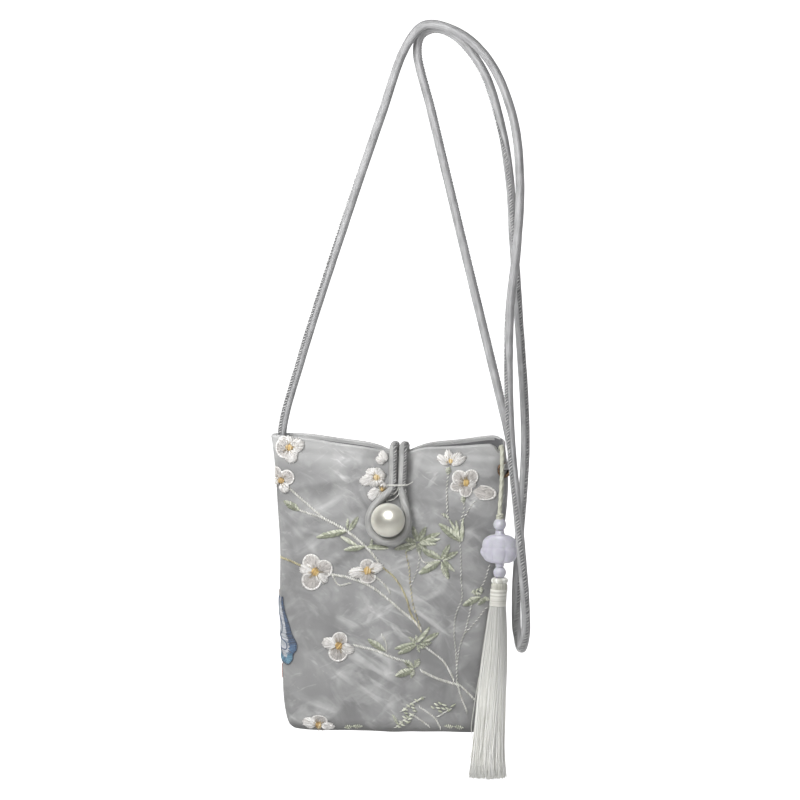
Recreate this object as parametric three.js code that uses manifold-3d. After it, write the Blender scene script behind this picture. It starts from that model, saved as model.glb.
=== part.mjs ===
import * as THREE from 'three';
import { mergeVertices } from 'three/addons/utils/BufferGeometryUtils.js';
import Module from 'manifold-3d';

// Embroidered evening bag, hanging by its strap. Millimetres, +Z up, the front faces -Y.
// The origin is the point under the strap's crown that hangs on a peg.

// Driving sizes
const gap = 0.3;
const wall = 1.6;
const lip = 0.6;
const mergeReach = 1e-4;
const baseZ = -428;
const stationsAcross = 28;
const stationBlend = 0.5;
const strapDiameter = 5.5;
const strapSides = 10;
const strapSteps = 77;
const loopDiameter = 5;
const loopSides = 8;
const loopSteps = 72;
const loopShoulder = 0.5;
const loopX = -18.6;
const loopHalfDepth = 2.5;
const loopStandOff = 2.1;
const pinchReachX = 15;
const pinchReachZ = 20;
const pearlRadius = 10.4;
const pearlHalfDepth = 8.8;
const pearlX = -22.9;
const pearlZ = -297.2;
const shankRadius = 3;
const shankEnd = 9.8;
const pearlRows = 12;
const pearlSides = 24;
const eyeletShare = 0.934;
const eyeletStation = 0.99;
const eyeletBore = 2.85;
const eyeletBarrel = 3.35;
const eyeletFlange = 4.7;
const eyeletFlangeHeight = 0.8;
const eyeletLength = 2.6;
const eyeletEdge = 0.4;
const eyeletSides = 24;
const eyeletHole = { radius: eyeletBarrel + gap, length: 10, sides: 20 };
const cordDiameter = 2.8;
const cordSides = 8;
const cordSteps = 40;
const dropX = 44.8;
const dropY = -14.5;
const beadBore = { radius: cordDiameter / 2 + gap, length: 30, sides: 12 };
const beadZ = { upper: -299.4, flower: -313.7, lower: -328.8 };
const smallBead = { radius: 3.9, rows: 8, sides: 14 };
const crown = { z: -333.7, radius: 3.4, tube: 1.4, tubeSides: 8, ribs: 12, ribShare: 0.1 };
const band = { top: -338.6, bottom: -349.2, inner: 4.6, outer: 5.2, turns: 5, rib: 0.25, sides: 20 };
const tasselSides = 36;
const tasselLocks = 9;

// Sections of the pouch from the base up, by their share of the height
const sections = [
  { share: 0, left: -83.7, right: 28.9, halfDepth: 11.2, square: 5 },
  { share: 0.014, left: -86.4, right: 30.9, halfDepth: 13.0, square: 5 },
  { share: 0.056, left: -88.6, right: 32.5, halfDepth: 13.7, square: 5 },
  { share: 0.13, left: -90.1, right: 33.7, halfDepth: 13.8, square: 5 },
  { share: 0.22, left: -90.7, right: 35.1, halfDepth: 13.5, square: 4.8 },
  { share: 0.30, left: -91.1, right: 36.6, halfDepth: 13.2, square: 4.7 },
  { share: 0.40, left: -91.6, right: 38.7, halfDepth: 12.8, square: 4.6 },
  { share: 0.50, left: -92.0, right: 41.3, halfDepth: 12.3, square: 4.5 },
  { share: 0.58, left: -92.3, right: 43.1, halfDepth: 11.8, square: 4.4 },
  { share: 0.66, left: -92.7, right: 44.8, halfDepth: 11.2, square: 4.3 },
  { share: 0.74, left: -93.3, right: 46.5, halfDepth: 10.5, square: 4.2 },
  { share: 0.81, left: -94.0, right: 47.5, halfDepth: 9.7, square: 4.2 },
  { share: 0.87, left: -94.8, right: 47.9, halfDepth: 8.9, square: 4.1 },
  { share: 0.92, left: -95.8, right: 47.7, halfDepth: 8.1, square: 4.1 },
  { share: 0.96, left: -96.7, right: 47.1, halfDepth: 7.3, square: 4 },
  { share: 0.985, left: -97.3, right: 46.5, halfDepth: 6.8, square: 4 },
  { share: 1, left: -97.6, right: 46.2, halfDepth: 6.5, square: 4 },
];

// Height of the rim across the bag: low under the loop, the back higher than the front
const rim = [
  { x: -96, front: -248.6, back: -247.4 },
  { x: -80, front: -248.8, back: -247.4 },
  { x: -54, front: -252.2, back: -250.0 },
  { x: -37, front: -254.0, back: -251.8 },
  { x: -30, front: -255.4, back: -254.2 },
  { x: -27, front: -257.4, back: -257.0 },
  { x: -10.5, front: -257.4, back: -257.0 },
  { x: -7, front: -255.2, back: -253.8 },
  { x: -3, front: -253.8, back: -251.4 },
  { x: 21, front: -252.8, back: -249.2 },
  { x: 37, front: -253.0, back: -247.4 },
  { x: 43, front: -256.6, back: -246.4 },
];

// Soft folds pressed into the front, from one point of the panel to another
const folds = [
  { fromX: -8, fromZ: -262, toX: 32, toZ: -268, reach: 5, depth: 0.9 },
  { fromX: -6, fromZ: -272, toX: 34, toZ: -288, reach: 6, depth: 0.8 },
  { fromX: -30, fromZ: -264, toX: -66, toZ: -288, reach: 7, depth: 1.0 },
  { fromX: -40, fromZ: -318, toX: -80, toZ: -352, reach: 8, depth: 0.8 },
  { fromX: -8, fromZ: -322, toX: 26, toZ: -372, reach: 9, depth: 0.9 },
];

// Route of the strap: inside the left corner, over the peg, down to the free bight,
// up and over the peg again, down to the eyelet and into the bag
const strapRoute = [
  [-89.6, 0, -263], [-91.2, 0, -246], [-79, 0, -200], [-55.5, -1.5, -128], [-29, -2.6, -51],
  [-14.5, -3.2, -11], [-4.5, -3.2, 1.6], [4, -3.2, 2.8], [22, -3.2, -4.5], [38.5, -3.6, -22],
  [51.5, -5.5, -54], [56, -9, -91], [54.5, -12.5, -132], [50.6, -14, -170], [51, -17, -236],
  [58, -24.5, -303], [62, -26, -350], [61.6, -24, -366], [58.2, -14.5, -375], [54.4, -5, -366],
  [53.6, -3, -347], [55.2, -3, -313], [59, -3, -250], [54.6, -3.5, -170.5], [51.7, -3.5, -129.5],
  [49.5, -0.8, -97], [43.6, 2.2, -60.5], [32, 3.4, -25], [15, 3.3, -4.2], [3, 3.2, 0.2],
  [-5.5, 3.2, -3.4], [-8.2, 3.2, -13], [0.8, 3, -51], [20, 2, -130], [42.5, 0, -221],
  [48.6, -1.4, -246], [50.8, -4.4, -258.2], [49.8, -5.8, -264.2], [45.6, -2.6, -265.6], [41.6, 0.6, -266],
];
const strapSqueeze = { length: 16, share: 0.66, samples: 20 };
const knot = { x: 37.8, y: 1.5, z: -266.2, radius: 3.3, sides: 12, rows: 8 };

// Button loop on the front, by its place across and its height
const loopFront = [
  { x: -21.6, z: -264 }, { x: -21.5, z: -272 }, { x: -21.5, z: -279 }, { x: -26, z: -283.2 },
  { x: -31.8, z: -289 }, { x: -35.3, z: -297 }, { x: -34.3, z: -304.4 }, { x: -30, z: -309.2 },
  { x: -23.6, z: -311.2 }, { x: -17, z: -309.7 }, { x: -12.6, z: -304.8 }, { x: -11.5, z: -297 },
  { x: -13.4, z: -288.5 }, { x: -15.6, z: -279.5 }, { x: -15.7, z: -272 }, { x: -15.6, z: -264 },
];
const loopBackZ = -266;
const tie = { z: -276.8, height: 1.6, thickness: 0.6, reach: 3, play: 2.5 * gap, segments: 8 };

// Route of the tassel's cord: out of the mouth over the front corner, then straight down
const cordRoute = [
  [38.5, 0, -260], [40.2, -0.6, -254.6], [42.4, -3.2, -251.4], [44.9, -7, -254], [45.5, -8.8, -260.5],
  [45.6, -10.4, -271], [45.2, -13, -283], [dropX, dropY, -291], [dropX, dropY, -299],
  [dropX, dropY, -318], [dropX, dropY, -335.3],
];

// Outline of the carved bead, from its top collar to its underside
const flowerRows = [
  { up: 9.1, halfWidth: 2.7, halfDepth: 2.7, lobe: 0 },
  { up: 8.0, halfWidth: 3.2, halfDepth: 3.2, lobe: 0 },
  { up: 7.4, halfWidth: 6.4, halfDepth: 4.4, lobe: 0.01 },
  { up: 4.9, halfWidth: 9.7, halfDepth: 5.0, lobe: 0.02 },
  { up: 1.6, halfWidth: 10.7, halfDepth: 5.2, lobe: 0.03 },
  { up: 0.3, halfWidth: 10.3, halfDepth: 5.0, lobe: 0.03 },
  { up: -1.0, halfWidth: 11.6, halfDepth: 5.3, lobe: 0.04 },
  { up: -3.3, halfWidth: 11.8, halfDepth: 5.3, lobe: 0.05 },
  { up: -5.3, halfWidth: 10.4, halfDepth: 5.0, lobe: 0.05 },
  { up: -6.2, halfWidth: 9.9, halfDepth: 4.8, lobe: 0.05 },
  { up: -7.7, halfWidth: 8.9, halfDepth: 4.5, lobe: 0.06 },
  { up: -9.1, halfWidth: 6.2, halfDepth: 3.8, lobe: 0.06 },
  { up: -8.7, halfWidth: 2.9, halfDepth: 2.9, lobe: 0 },
  { up: -10.6, halfWidth: 2.7, halfDepth: 2.7, lobe: 0 },
];
const flowerLobes = 8;
const flowerSides = 32;

// Sections of the tassel from its head down, leaning to the left
const tasselRows = [
  { z: -335.6, x: 44.8, y: -14.5, halfWidth: 3.4, halfDepth: 3.4, lock: 0 },
  { z: -337.2, x: 44.6, y: -14.6, halfWidth: 4.7, halfDepth: 4.7, lock: 0 },
  { z: -338.4, x: 44.4, y: -14.7, halfWidth: 4.3, halfDepth: 4.3, lock: 0 },
  { z: -349.4, x: 43.7, y: -15.2, halfWidth: 4.3, halfDepth: 4.3, lock: 0 },
  { z: -351, x: 43.6, y: -15.3, halfWidth: 5.3, halfDepth: 5.0, lock: 0.02 },
  { z: -364, x: 43.0, y: -15.9, halfWidth: 6.6, halfDepth: 5.5, lock: 0.04 },
  { z: -382, x: 41.9, y: -16.8, halfWidth: 8.0, halfDepth: 5.8, lock: 0.06 },
  { z: -402, x: 40.5, y: -17.6, halfWidth: 8.9, halfDepth: 6.0, lock: 0.08 },
  { z: -424, x: 39.2, y: -18, halfWidth: 9.5, halfDepth: 6.2, lock: 0.09 },
  { z: -442, x: 38.3, y: -17.8, halfWidth: 10.3, halfDepth: 6.3, lock: 0.1 },
  { z: -453, x: 38.0, y: -17.5, halfWidth: 11.4, halfDepth: 6.4, lock: 0.1 },
];
const lockTip = 1.4;

// Finishes
const satin = { color: 0xa9abad, roughness: 0.55, metalness: 0 };
const strapCloth = { color: 0xa3a6a8, roughness: 0.6, metalness: 0 };
const thread = { color: 0xdcdccf, roughness: 0.6, metalness: 0 };
const pearl = { color: 0xebe4da, roughness: 0.18, metalness: 0 };
const brass = { color: 0x7a6352, roughness: 0.35, metalness: 0.9 };
const celadon = { color: 0xcacab4, roughness: 0.6, metalness: 0 };
const lavender = { color: 0xc9c6d6, roughness: 0.35, metalness: 0 };
const silk = { color: 0xdedfd6, roughness: 0.5, metalness: 0 };

const wasm = await Module();
wasm.setup();

const bag = new THREE.Group();

function addPiece(name, geometry, finish) {
  const mesh = new THREE.Mesh(geometry, new THREE.MeshStandardMaterial(finish));
  mesh.name = name;
  bag.add(mesh);
  return mesh;
}

// Body with flat fans at its first and last ring, rings counterclockwise seen from above
function loftRings(rings) {
  const count = rings[0].length;
  const points = rings.flat();
  const index = [];
  for (let r = 0; r + 1 < rings.length; r += 1) {
    for (let i = 0; i < count; i += 1) {
      const a = r * count + i;
      const b = r * count + (i + 1) % count;
      index.push(a, b, b + count, a, b + count, a + count);
    }
  }
  const last = (rings.length - 1) * count;
  const first = points.push(middle(rings[0])) - 1;
  const end = points.push(middle(rings.at(-1))) - 1;
  for (let i = 0; i < count; i += 1) {
    const j = (i + 1) % count;
    index.push(first, j, i, end, last + i, last + j);
  }
  const geometry = new THREE.BufferGeometry().setFromPoints(points);
  geometry.setIndex(index);
  geometry.computeVertexNormals();
  return geometry;
}

function middle(ring) {
  const sum = new THREE.Vector3();
  ring.forEach((point) => sum.add(point));
  return sum.divideScalar(ring.length);
}

function solidOf(geometry) {
  const bare = geometry.clone();
  bare.deleteAttribute('normal');
  bare.deleteAttribute('uv');
  const merged = mergeVertices(bare, mergeReach);
  const vertProperties = Float32Array.from(merged.attributes.position.array);
  const triVerts = Uint32Array.from(merged.index.array);
  return new wasm.Manifold(new wasm.Mesh({ numProp: 3, vertProperties, triVerts }));
}

function cutBy(geometry, tool) {
  const mesh = solidOf(geometry).subtract(solidOf(tool)).getMesh();
  const cut = new THREE.BufferGeometry();
  cut.setAttribute('position', new THREE.BufferAttribute(Float32Array.from(mesh.vertProperties), 3));
  cut.setIndex(Array.from(mesh.triVerts));
  cut.computeVertexNormals();
  return cut;
}

// Value of a table's column at a place between two of its rows
function between(rows, key, at, column) {
  let i = 1;
  while (i < rows.length - 1 && rows[i][key] < at) {
    i += 1;
  }
  const span = (at - rows[i - 1][key]) / (rows[i][key] - rows[i - 1][key]);
  const share = Math.min(1, Math.max(0, span));
  return rows[i - 1][column] + (rows[i][column] - rows[i - 1][column]) * share;
}

function foldAt(x, z) {
  let push = 0;
  for (const fold of folds) {
    const dx = fold.toX - fold.fromX;
    const dz = fold.toZ - fold.fromZ;
    const along = ((x - fold.fromX) * dx + (z - fold.fromZ) * dz) / (dx * dx + dz * dz);
    const held = Math.min(1, Math.max(0, along));
    const away = Math.hypot(x - fold.fromX - held * dx, z - fold.fromZ - held * dz);
    push += fold.depth * Math.exp(-((away / fold.reach) ** 2));
  }
  return push;
}

// Point of the pouch: share of the height, station -1 to 1 across, side -1 front or 1 back
function pouchPoint(share, station, side, inset) {
  const row = (column) => between(sections, 'share', share, column);
  const centre = (row('left') + row('right')) / 2;
  const x = centre + ((row('right') - row('left')) / 2 - inset) * station;
  const round = (1 - Math.abs(station) ** row('square')) ** (1 / row('square'));
  const front = between(rim, 'x', x, 'front');
  const back = between(rim, 'x', x, 'back');
  const rimZ = (front + back) / 2 + side * round * (back - front) / 2;
  const z = baseZ + share * (rimZ - baseZ);
  const pinch = Math.exp(-(((x - loopX) / pinchReachX) ** 2) - (((rimZ - z) / pinchReachZ) ** 2));
  const half = row('halfDepth') + (loopHalfDepth - row('halfDepth')) * pinch;
  const push = side < 0 ? foldAt(x, z) * round * (1 - pinch) : 0;
  return new THREE.Vector3(x, side * (half - inset) * round + push, z);
}

// Depth of the front or back surface at a place across and a height
function surfaceY(x, z, side) {
  const rimZ = between(rim, 'x', x, side < 0 ? 'front' : 'back');
  const share = (z - baseZ) / (rimZ - baseZ);
  const left = between(sections, 'share', share, 'left');
  const right = between(sections, 'share', share, 'right');
  return pouchPoint(share, (2 * x - left - right) / (right - left), side, 0).y;
}

function pouchRing(share, inset, lift) {
  const ring = [];
  for (const side of [-1, 1]) {
    for (let i = 0; i < stationsAcross; i += 1) {
      const turn = -side * (2 * i / stationsAcross - 1);
      const station = stationBlend * Math.sin(turn * Math.PI / 2) + (1 - stationBlend) * turn;
      const point = pouchPoint(share, station, side, inset);
      point.z += lift;
      ring.push(point);
    }
  }
  return ring;
}

// Place and direction of the eyelet on the right side wall
function eyeletSeat() {
  const step = 1e-3;
  const at = pouchPoint(eyeletShare, eyeletStation, -1, 0);
  const across = pouchPoint(eyeletShare, eyeletStation + step, -1, 0).sub(at);
  const upward = pouchPoint(eyeletShare + step, eyeletStation, -1, 0).sub(at);
  const normal = across.cross(upward).normalize();
  const turn = new THREE.Quaternion().setFromUnitVectors(new THREE.Vector3(0, 1, 0), normal);
  return { at, normal, turn };
}

function makePouch() {
  const shares = sections.map((row) => row.share);
  const outer = shares.map((share) => pouchRing(share, 0, 0));
  const lipRing = pouchRing(1, wall / 2, lip);
  const inner = shares.slice(1).reverse().map((share) => pouchRing(share, wall, 0));
  const shell = loftRings([...outer, lipRing, ...inner]);
  const seat = eyeletSeat();
  const { radius, length, sides } = eyeletHole;
  const hole = new THREE.CylinderGeometry(radius, radius, length, sides);
  hole.applyQuaternion(seat.turn);
  hole.translate(seat.at.x, seat.at.y, seat.at.z);
  addPiece('bag_shell', cutBy(shell, hole), satin);
}

function makeEyelet() {
  const crest = gap + eyeletFlangeHeight;
  const profile = [
    [eyeletBore, -eyeletLength], [eyeletBarrel, -eyeletLength], [eyeletBarrel, gap],
    [eyeletFlange, gap], [eyeletFlange, crest - eyeletEdge], [eyeletFlange - eyeletEdge, crest],
    [eyeletBore + eyeletEdge, crest], [eyeletBore, crest - eyeletEdge], [eyeletBore, -eyeletLength],
  ];
  const ring = new THREE.LatheGeometry(profile.map(([r, y]) => new THREE.Vector2(r, y)), eyeletSides);
  const seat = eyeletSeat();
  const mesh = addPiece('eyelet_right', ring, brass);
  mesh.quaternion.copy(seat.turn);
  mesh.position.copy(seat.at);
}

function roundSection(radius, sides) {
  const section = new THREE.Shape();
  for (let i = 0; i < sides; i += 1) {
    const angle = 2 * Math.PI * (i + 0.5) / sides;
    const place = [radius * Math.cos(angle), radius * Math.sin(angle)];
    if (i === 0) {
      section.moveTo(...place);
    } else {
      section.lineTo(...place);
    }
  }
  section.closePath();
  return section;
}

function tubeAlong(route, diameter, sides, steps) {
  const section = roundSection(diameter / 2, sides);
  return new THREE.ExtrudeGeometry(section, { extrudePath: route, steps, bevelEnabled: false });
}

// Curve whose steps follow its points, so that tight bends get more of them
function routeThrough(points) {
  const curve = new THREE.CatmullRomCurve3(points);
  curve.getUtoTmapping = (u) => u;
  return curve;
}

function makeStrap() {
  const route = routeThrough(strapRoute.map((point) => new THREE.Vector3(...point)));
  const tube = tubeAlong(route, strapDiameter, strapSides, strapSteps);
  const end = new THREE.Vector3(...strapRoute.at(-1));
  const line = route.getPoints(strapRoute.length * strapSqueeze.samples);
  const place = tube.attributes.position;
  const point = new THREE.Vector3();
  for (let i = 0; i < place.count; i += 1) {
    point.fromBufferAttribute(place, i);
    if (point.distanceTo(end) < strapSqueeze.length) {
      const nearest = line.reduce((a, b) => (a.distanceTo(point) < b.distanceTo(point) ? a : b));
      const away = Math.min(1, nearest.distanceTo(end) / strapSqueeze.length);
      const share = strapSqueeze.share + (1 - strapSqueeze.share) * away * away;
      point.sub(nearest).multiplyScalar(share).add(nearest);
      place.setXYZ(i, point.x, point.y, point.z);
    }
  }
  addPiece('strap', tube, strapCloth);
  const lump = new THREE.SphereGeometry(knot.radius, knot.sides, knot.rows);
  addPiece('strap_knot', lump, strapCloth).position.set(knot.x, knot.y, knot.z);
}

function makeButtonLoop() {
  const radius = loopDiameter / 2;
  const front = loopFront.map(({ x, z }) => {
    return new THREE.Vector3(x, surfaceY(x, z, -1) - radius - loopStandOff, z);
  });
  const legOver = (x) => {
    const top = Math.max(between(rim, 'x', x, 'front'), between(rim, 'x', x, 'back')) + lip;
    const beside = loopHalfDepth + radius + 3 * gap;
    return [
      new THREE.Vector3(x, surfaceY(x, loopBackZ, 1) + radius + 2 * gap, loopBackZ),
      new THREE.Vector3(x, beside, top - radius),
      new THREE.Vector3(x, beside - loopShoulder, top + radius / 2 + gap),
      new THREE.Vector3(x, 0, top + radius + 2 * gap),
      new THREE.Vector3(x, loopShoulder - beside, top + radius / 2 + gap),
      new THREE.Vector3(x, -beside, top - radius),
    ];
  };
  const points = [...legOver(front[0].x), ...front, ...legOver(front.at(-1).x).reverse()];
  addPiece('button_loop', tubeAlong(routeThrough(points), loopDiameter, loopSides, loopSteps), strapCloth);
}

function makeLoopTie() {
  const legs = loopFront.filter(({ z }) => Math.abs(z - tie.z) < tie.reach);
  const half = loopDiameter / 2 + tie.play;
  const left = Math.min(...legs.map(({ x }) => x));
  const right = Math.max(...legs.map(({ x }) => x));
  const stadium = (shape, radius) => {
    shape.absarc(left, 0, radius, Math.PI / 2, 3 * Math.PI / 2, false);
    shape.absarc(right, 0, radius, -Math.PI / 2, Math.PI / 2, false);
    return shape;
  };
  const ring = stadium(new THREE.Shape(), half + tie.thickness);
  ring.holes.push(stadium(new THREE.Path(), half));
  const settings = { depth: tie.height, bevelEnabled: false, curveSegments: tie.segments };
  const y = surfaceY(loopX, tie.z, -1) - loopDiameter / 2 - loopStandOff;
  const wound = addPiece('loop_tie', new THREE.ExtrudeGeometry(ring, settings), thread);
  wound.position.set(0, y, tie.z - tie.height / 2);
}

function makePearl() {
  const profile = [];
  const last = Math.PI - Math.asin(shankRadius / pearlRadius);
  for (let i = 0; i <= pearlRows; i += 1) {
    const angle = last * i / pearlRows;
    profile.push(new THREE.Vector2(pearlRadius * Math.sin(angle), -pearlHalfDepth * Math.cos(angle)));
  }
  profile.push(new THREE.Vector2(shankRadius, shankEnd), new THREE.Vector2(0, shankEnd));
  const y = surfaceY(pearlX, pearlZ, -1) - 2 * gap - shankEnd;
  const button = addPiece('pearl_button', new THREE.LatheGeometry(profile, pearlSides), pearl);
  button.position.set(pearlX, y, pearlZ);
}

function makeTasselCord() {
  const route = routeThrough(cordRoute.map((point) => new THREE.Vector3(...point)));
  addPiece('tassel_cord', tubeAlong(route, cordDiameter, cordSides, cordSteps), celadon);
}

function makeSmallBead(name, z) {
  const profile = [];
  const { radius, rows, sides } = smallBead;
  const start = Math.asin(beadBore.radius / radius);
  for (let i = 0; i <= rows; i += 1) {
    const angle = Math.PI - start - (Math.PI - 2 * start) * i / rows;
    profile.push(new THREE.Vector2(radius * Math.sin(angle), radius * Math.cos(angle)));
  }
  profile.push(profile[0].clone());
  const round = new THREE.LatheGeometry(profile, sides);
  round.rotateX(Math.PI / 2);
  addPiece(name, round, lavender).position.set(dropX, dropY, z);
}

function makeFlowerBead() {
  const rings = flowerRows.toReversed().map((row) => {
    const ring = [];
    for (let i = 0; i < flowerSides; i += 1) {
      const angle = 2 * Math.PI * i / flowerSides;
      const swell = 1 - row.lobe + row.lobe * Math.cos(flowerLobes * angle);
      const x = dropX + row.halfWidth * swell * Math.cos(angle);
      const y = dropY + row.halfDepth * swell * Math.sin(angle);
      ring.push(new THREE.Vector3(x, y, beadZ.flower + row.up));
    }
    return ring;
  });
  const { radius, length, sides } = beadBore;
  const bore = new THREE.CylinderGeometry(radius, radius, length, sides);
  bore.rotateX(Math.PI / 2);
  bore.translate(dropX, dropY, beadZ.flower);
  addPiece('bead_flower', cutBy(loftRings(rings), bore), lavender);
}

function makeTasselCrown() {
  const ring = new THREE.TorusGeometry(crown.radius, crown.tube, crown.tubeSides, crown.ribs * 2);
  const place = ring.attributes.position;
  const point = new THREE.Vector3();
  for (let i = 0; i < place.count; i += 1) {
    point.fromBufferAttribute(place, i);
    const turn = Math.atan2(point.y, point.x);
    const core = new THREE.Vector3(Math.cos(turn), Math.sin(turn), 0).multiplyScalar(crown.radius);
    const round = Math.atan2(point.z, Math.hypot(point.x, point.y) - crown.radius);
    const swell = 1 - crown.ribShare + crown.ribShare * Math.cos(crown.ribs * turn + round);
    point.sub(core).multiplyScalar(swell).add(core);
    place.setXYZ(i, point.x, point.y, point.z);
  }
  addPiece('tassel_crown', ring, silk).position.set(dropX, dropY, crown.z);
}

function makeTasselBand() {
  const profile = [new THREE.Vector2(band.inner, 0), new THREE.Vector2(band.outer, 0)];
  const height = band.top - band.bottom - 2 * gap;
  for (let i = 0; i < band.turns; i += 1) {
    profile.push(new THREE.Vector2(band.outer + band.rib, height * (i + 0.5) / band.turns));
    profile.push(new THREE.Vector2(band.outer, height * (i + 1) / band.turns));
  }
  profile.push(new THREE.Vector2(band.inner, height), new THREE.Vector2(band.inner, 0));
  const ring = new THREE.LatheGeometry(profile, band.sides);
  ring.rotateX(Math.PI / 2);
  const neck = tasselRows.filter(({ z }) => z < band.top + 1 && z > band.bottom - 1);
  const lean = (column) => (neck[0][column] - neck[1][column]) / (neck[0].z - neck[1].z);
  const place = ring.attributes.position;
  for (let i = 0; i < place.count; i += 1) {
    const z = place.getZ(i) + band.bottom + gap;
    const drop = z - neck[0].z;
    const x = place.getX(i) + neck[0].x + lean('x') * drop;
    const y = place.getY(i) + neck[0].y + lean('y') * drop;
    place.setXYZ(i, x, y, z);
  }
  addPiece('tassel_band', ring, silk);
}

function makeTassel() {
  const rings = tasselRows.toReversed().map((row) => {
    const ring = [];
    for (let i = 0; i < tasselSides; i += 1) {
      const angle = 2 * Math.PI * i / tasselSides;
      const lock = Math.cos(tasselLocks * angle);
      const swell = 1 - row.lock + row.lock * lock;
      const x = row.x + row.halfWidth * swell * Math.cos(angle);
      const y = row.y + row.halfDepth * swell * Math.sin(angle);
      const tip = row === tasselRows.at(-1) ? -lockTip * lock : 0;
      ring.push(new THREE.Vector3(x, y, row.z + tip));
    }
    return ring;
  });
  addPiece('tassel', loftRings(rings), silk);
}

makePouch();
makeEyelet();
makeStrap();
makeButtonLoop();
makeLoopTie();
makePearl();
makeTasselCord();
makeSmallBead('bead_upper', beadZ.upper);
makeFlowerBead();
makeSmallBead('bead_lower', beadZ.lower);
makeTasselCrown();
makeTasselBand();
makeTassel();

export default bag;
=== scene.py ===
import math

import bpy
import numpy as np
from mathutils import Matrix, Vector, noise
from mathutils.bvhtree import BVHTree


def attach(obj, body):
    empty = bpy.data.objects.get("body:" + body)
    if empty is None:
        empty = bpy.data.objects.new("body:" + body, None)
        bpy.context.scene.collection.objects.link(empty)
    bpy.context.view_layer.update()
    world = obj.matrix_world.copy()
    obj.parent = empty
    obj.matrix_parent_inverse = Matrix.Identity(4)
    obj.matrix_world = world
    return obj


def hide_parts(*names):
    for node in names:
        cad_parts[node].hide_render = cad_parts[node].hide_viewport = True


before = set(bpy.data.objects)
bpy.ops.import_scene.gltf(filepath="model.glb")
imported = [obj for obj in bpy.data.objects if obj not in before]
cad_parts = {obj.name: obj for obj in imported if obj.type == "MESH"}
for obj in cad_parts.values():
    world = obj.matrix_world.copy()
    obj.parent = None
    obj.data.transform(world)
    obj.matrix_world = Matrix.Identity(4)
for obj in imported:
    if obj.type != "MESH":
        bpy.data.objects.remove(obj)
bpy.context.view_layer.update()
mm = 0.001  # every size below is in millimetres
print("frame loaded,", len(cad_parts), "nodes")


# the photograph: where its camera stands, how large a pixel is at the bag, and its row at z = 0
photo = {
    "pixels": 800, "pixel": 0.61, "azimuth": 8.0, "elevation": 5.0, "distance": 3000.0,
    "target": (-18.343, 0.0, -225.7155), "sensor": 36.0, "zeroRow": 29, "clipEnd": 400,
}


def photoAxes():
    turn, rise = math.radians(photo["azimuth"]), math.radians(photo["elevation"])
    back = np.array((math.sin(turn) * math.cos(rise), -math.cos(turn) * math.cos(rise), math.sin(rise)))
    right = np.array((math.cos(turn), math.sin(turn), 0.0))
    return right, np.cross(back, right), back


def photoFacing():
    return Matrix(np.stack(photoAxes(), axis=1)).to_euler()


def makeCamera():
    place = np.array(photo["target"]) + photo["distance"] * photoAxes()[2]
    bpy.ops.object.camera_add(location=place * mm, rotation=photoFacing())
    camera = bpy.context.object
    camera.data.sensor_width = photo["sensor"]
    camera.data.lens = photo["sensor"] * photo["distance"] / (photo["pixel"] * photo["pixels"])
    camera.data.clip_end = photo["clipEnd"]
    bpy.context.scene.camera = camera


makeCamera()
print("camera set")


# small helpers for pieces
def nothingSelected():
    bpy.ops.object.select_all(action="DESELECT")


def tint(red, green=None, blue=None):
    # levels from 0 to 255 to a linear colour; one level alone is a grey
    levels = (red, red, red) if green is None else (red, green, blue)
    return tuple((c / 255 / 12.92) if c < 10.3 else ((c / 255 + 0.055) / 1.055) ** 2.4 for c in levels)


def unit(vectors):
    return vectors / np.maximum(np.linalg.norm(vectors, axis=-1, keepdims=True), 1e-9)


def ringAngles(count):
    return 2 * math.pi * np.arange(count) / count


def roundAbout(turn):
    return np.stack([np.cos(turn), np.sin(turn), np.zeros_like(turn)], axis=-1)


def meshPiece(name, points, faces, colours=None, uvs=None):
    mesh = bpy.data.meshes.new(name)
    mesh.from_pydata((np.asarray(points).reshape(-1, 3) * mm).tolist(), [], faces)
    if colours is not None:
        layer = mesh.color_attributes.new("threadColour", "FLOAT_COLOR", "POINT")
        solid = np.concatenate([colours, np.ones((len(colours), 1))], axis=1)
        layer.data.foreach_set("color", solid.astype(np.float32).ravel())
    if uvs is not None:
        layer = mesh.uv_layers.new(name="along")
        corners = np.zeros(len(mesh.loops), dtype=np.int32)
        mesh.loops.foreach_get("vertex_index", corners)
        layer.data.foreach_set("uv", np.asarray(uvs, np.float32).reshape(-1, 2)[corners].ravel())
    piece = bpy.data.objects.new(name, mesh)
    bpy.context.scene.collection.objects.link(piece)
    return piece


def finishPiece(piece, finish, slot, *nodes):
    piece.data.materials.clear()
    piece.data.materials.append(finish)
    piece.data.shade_smooth()
    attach(piece, "root")
    if nodes:
        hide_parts(*nodes)
    return piece


def newestPiece(name):
    piece = bpy.context.object
    piece.name = piece.data.name = name
    return piece


def placeCorners(piece, points):
    piece.data.vertices.foreach_set("co", (points * mm).astype(np.float32).ravel())
    piece.data.update()


def closeSeams(piece, reach=0.01):
    nothingSelected()
    piece.select_set(True)
    bpy.context.view_layer.objects.active = piece
    bpy.ops.object.mode_set(mode="EDIT")
    bpy.ops.mesh.select_all(action="SELECT")
    bpy.ops.mesh.remove_doubles(threshold=reach * mm)
    bpy.ops.mesh.normals_make_consistent(inside=False)
    bpy.ops.object.mode_set(mode="OBJECT")


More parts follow.
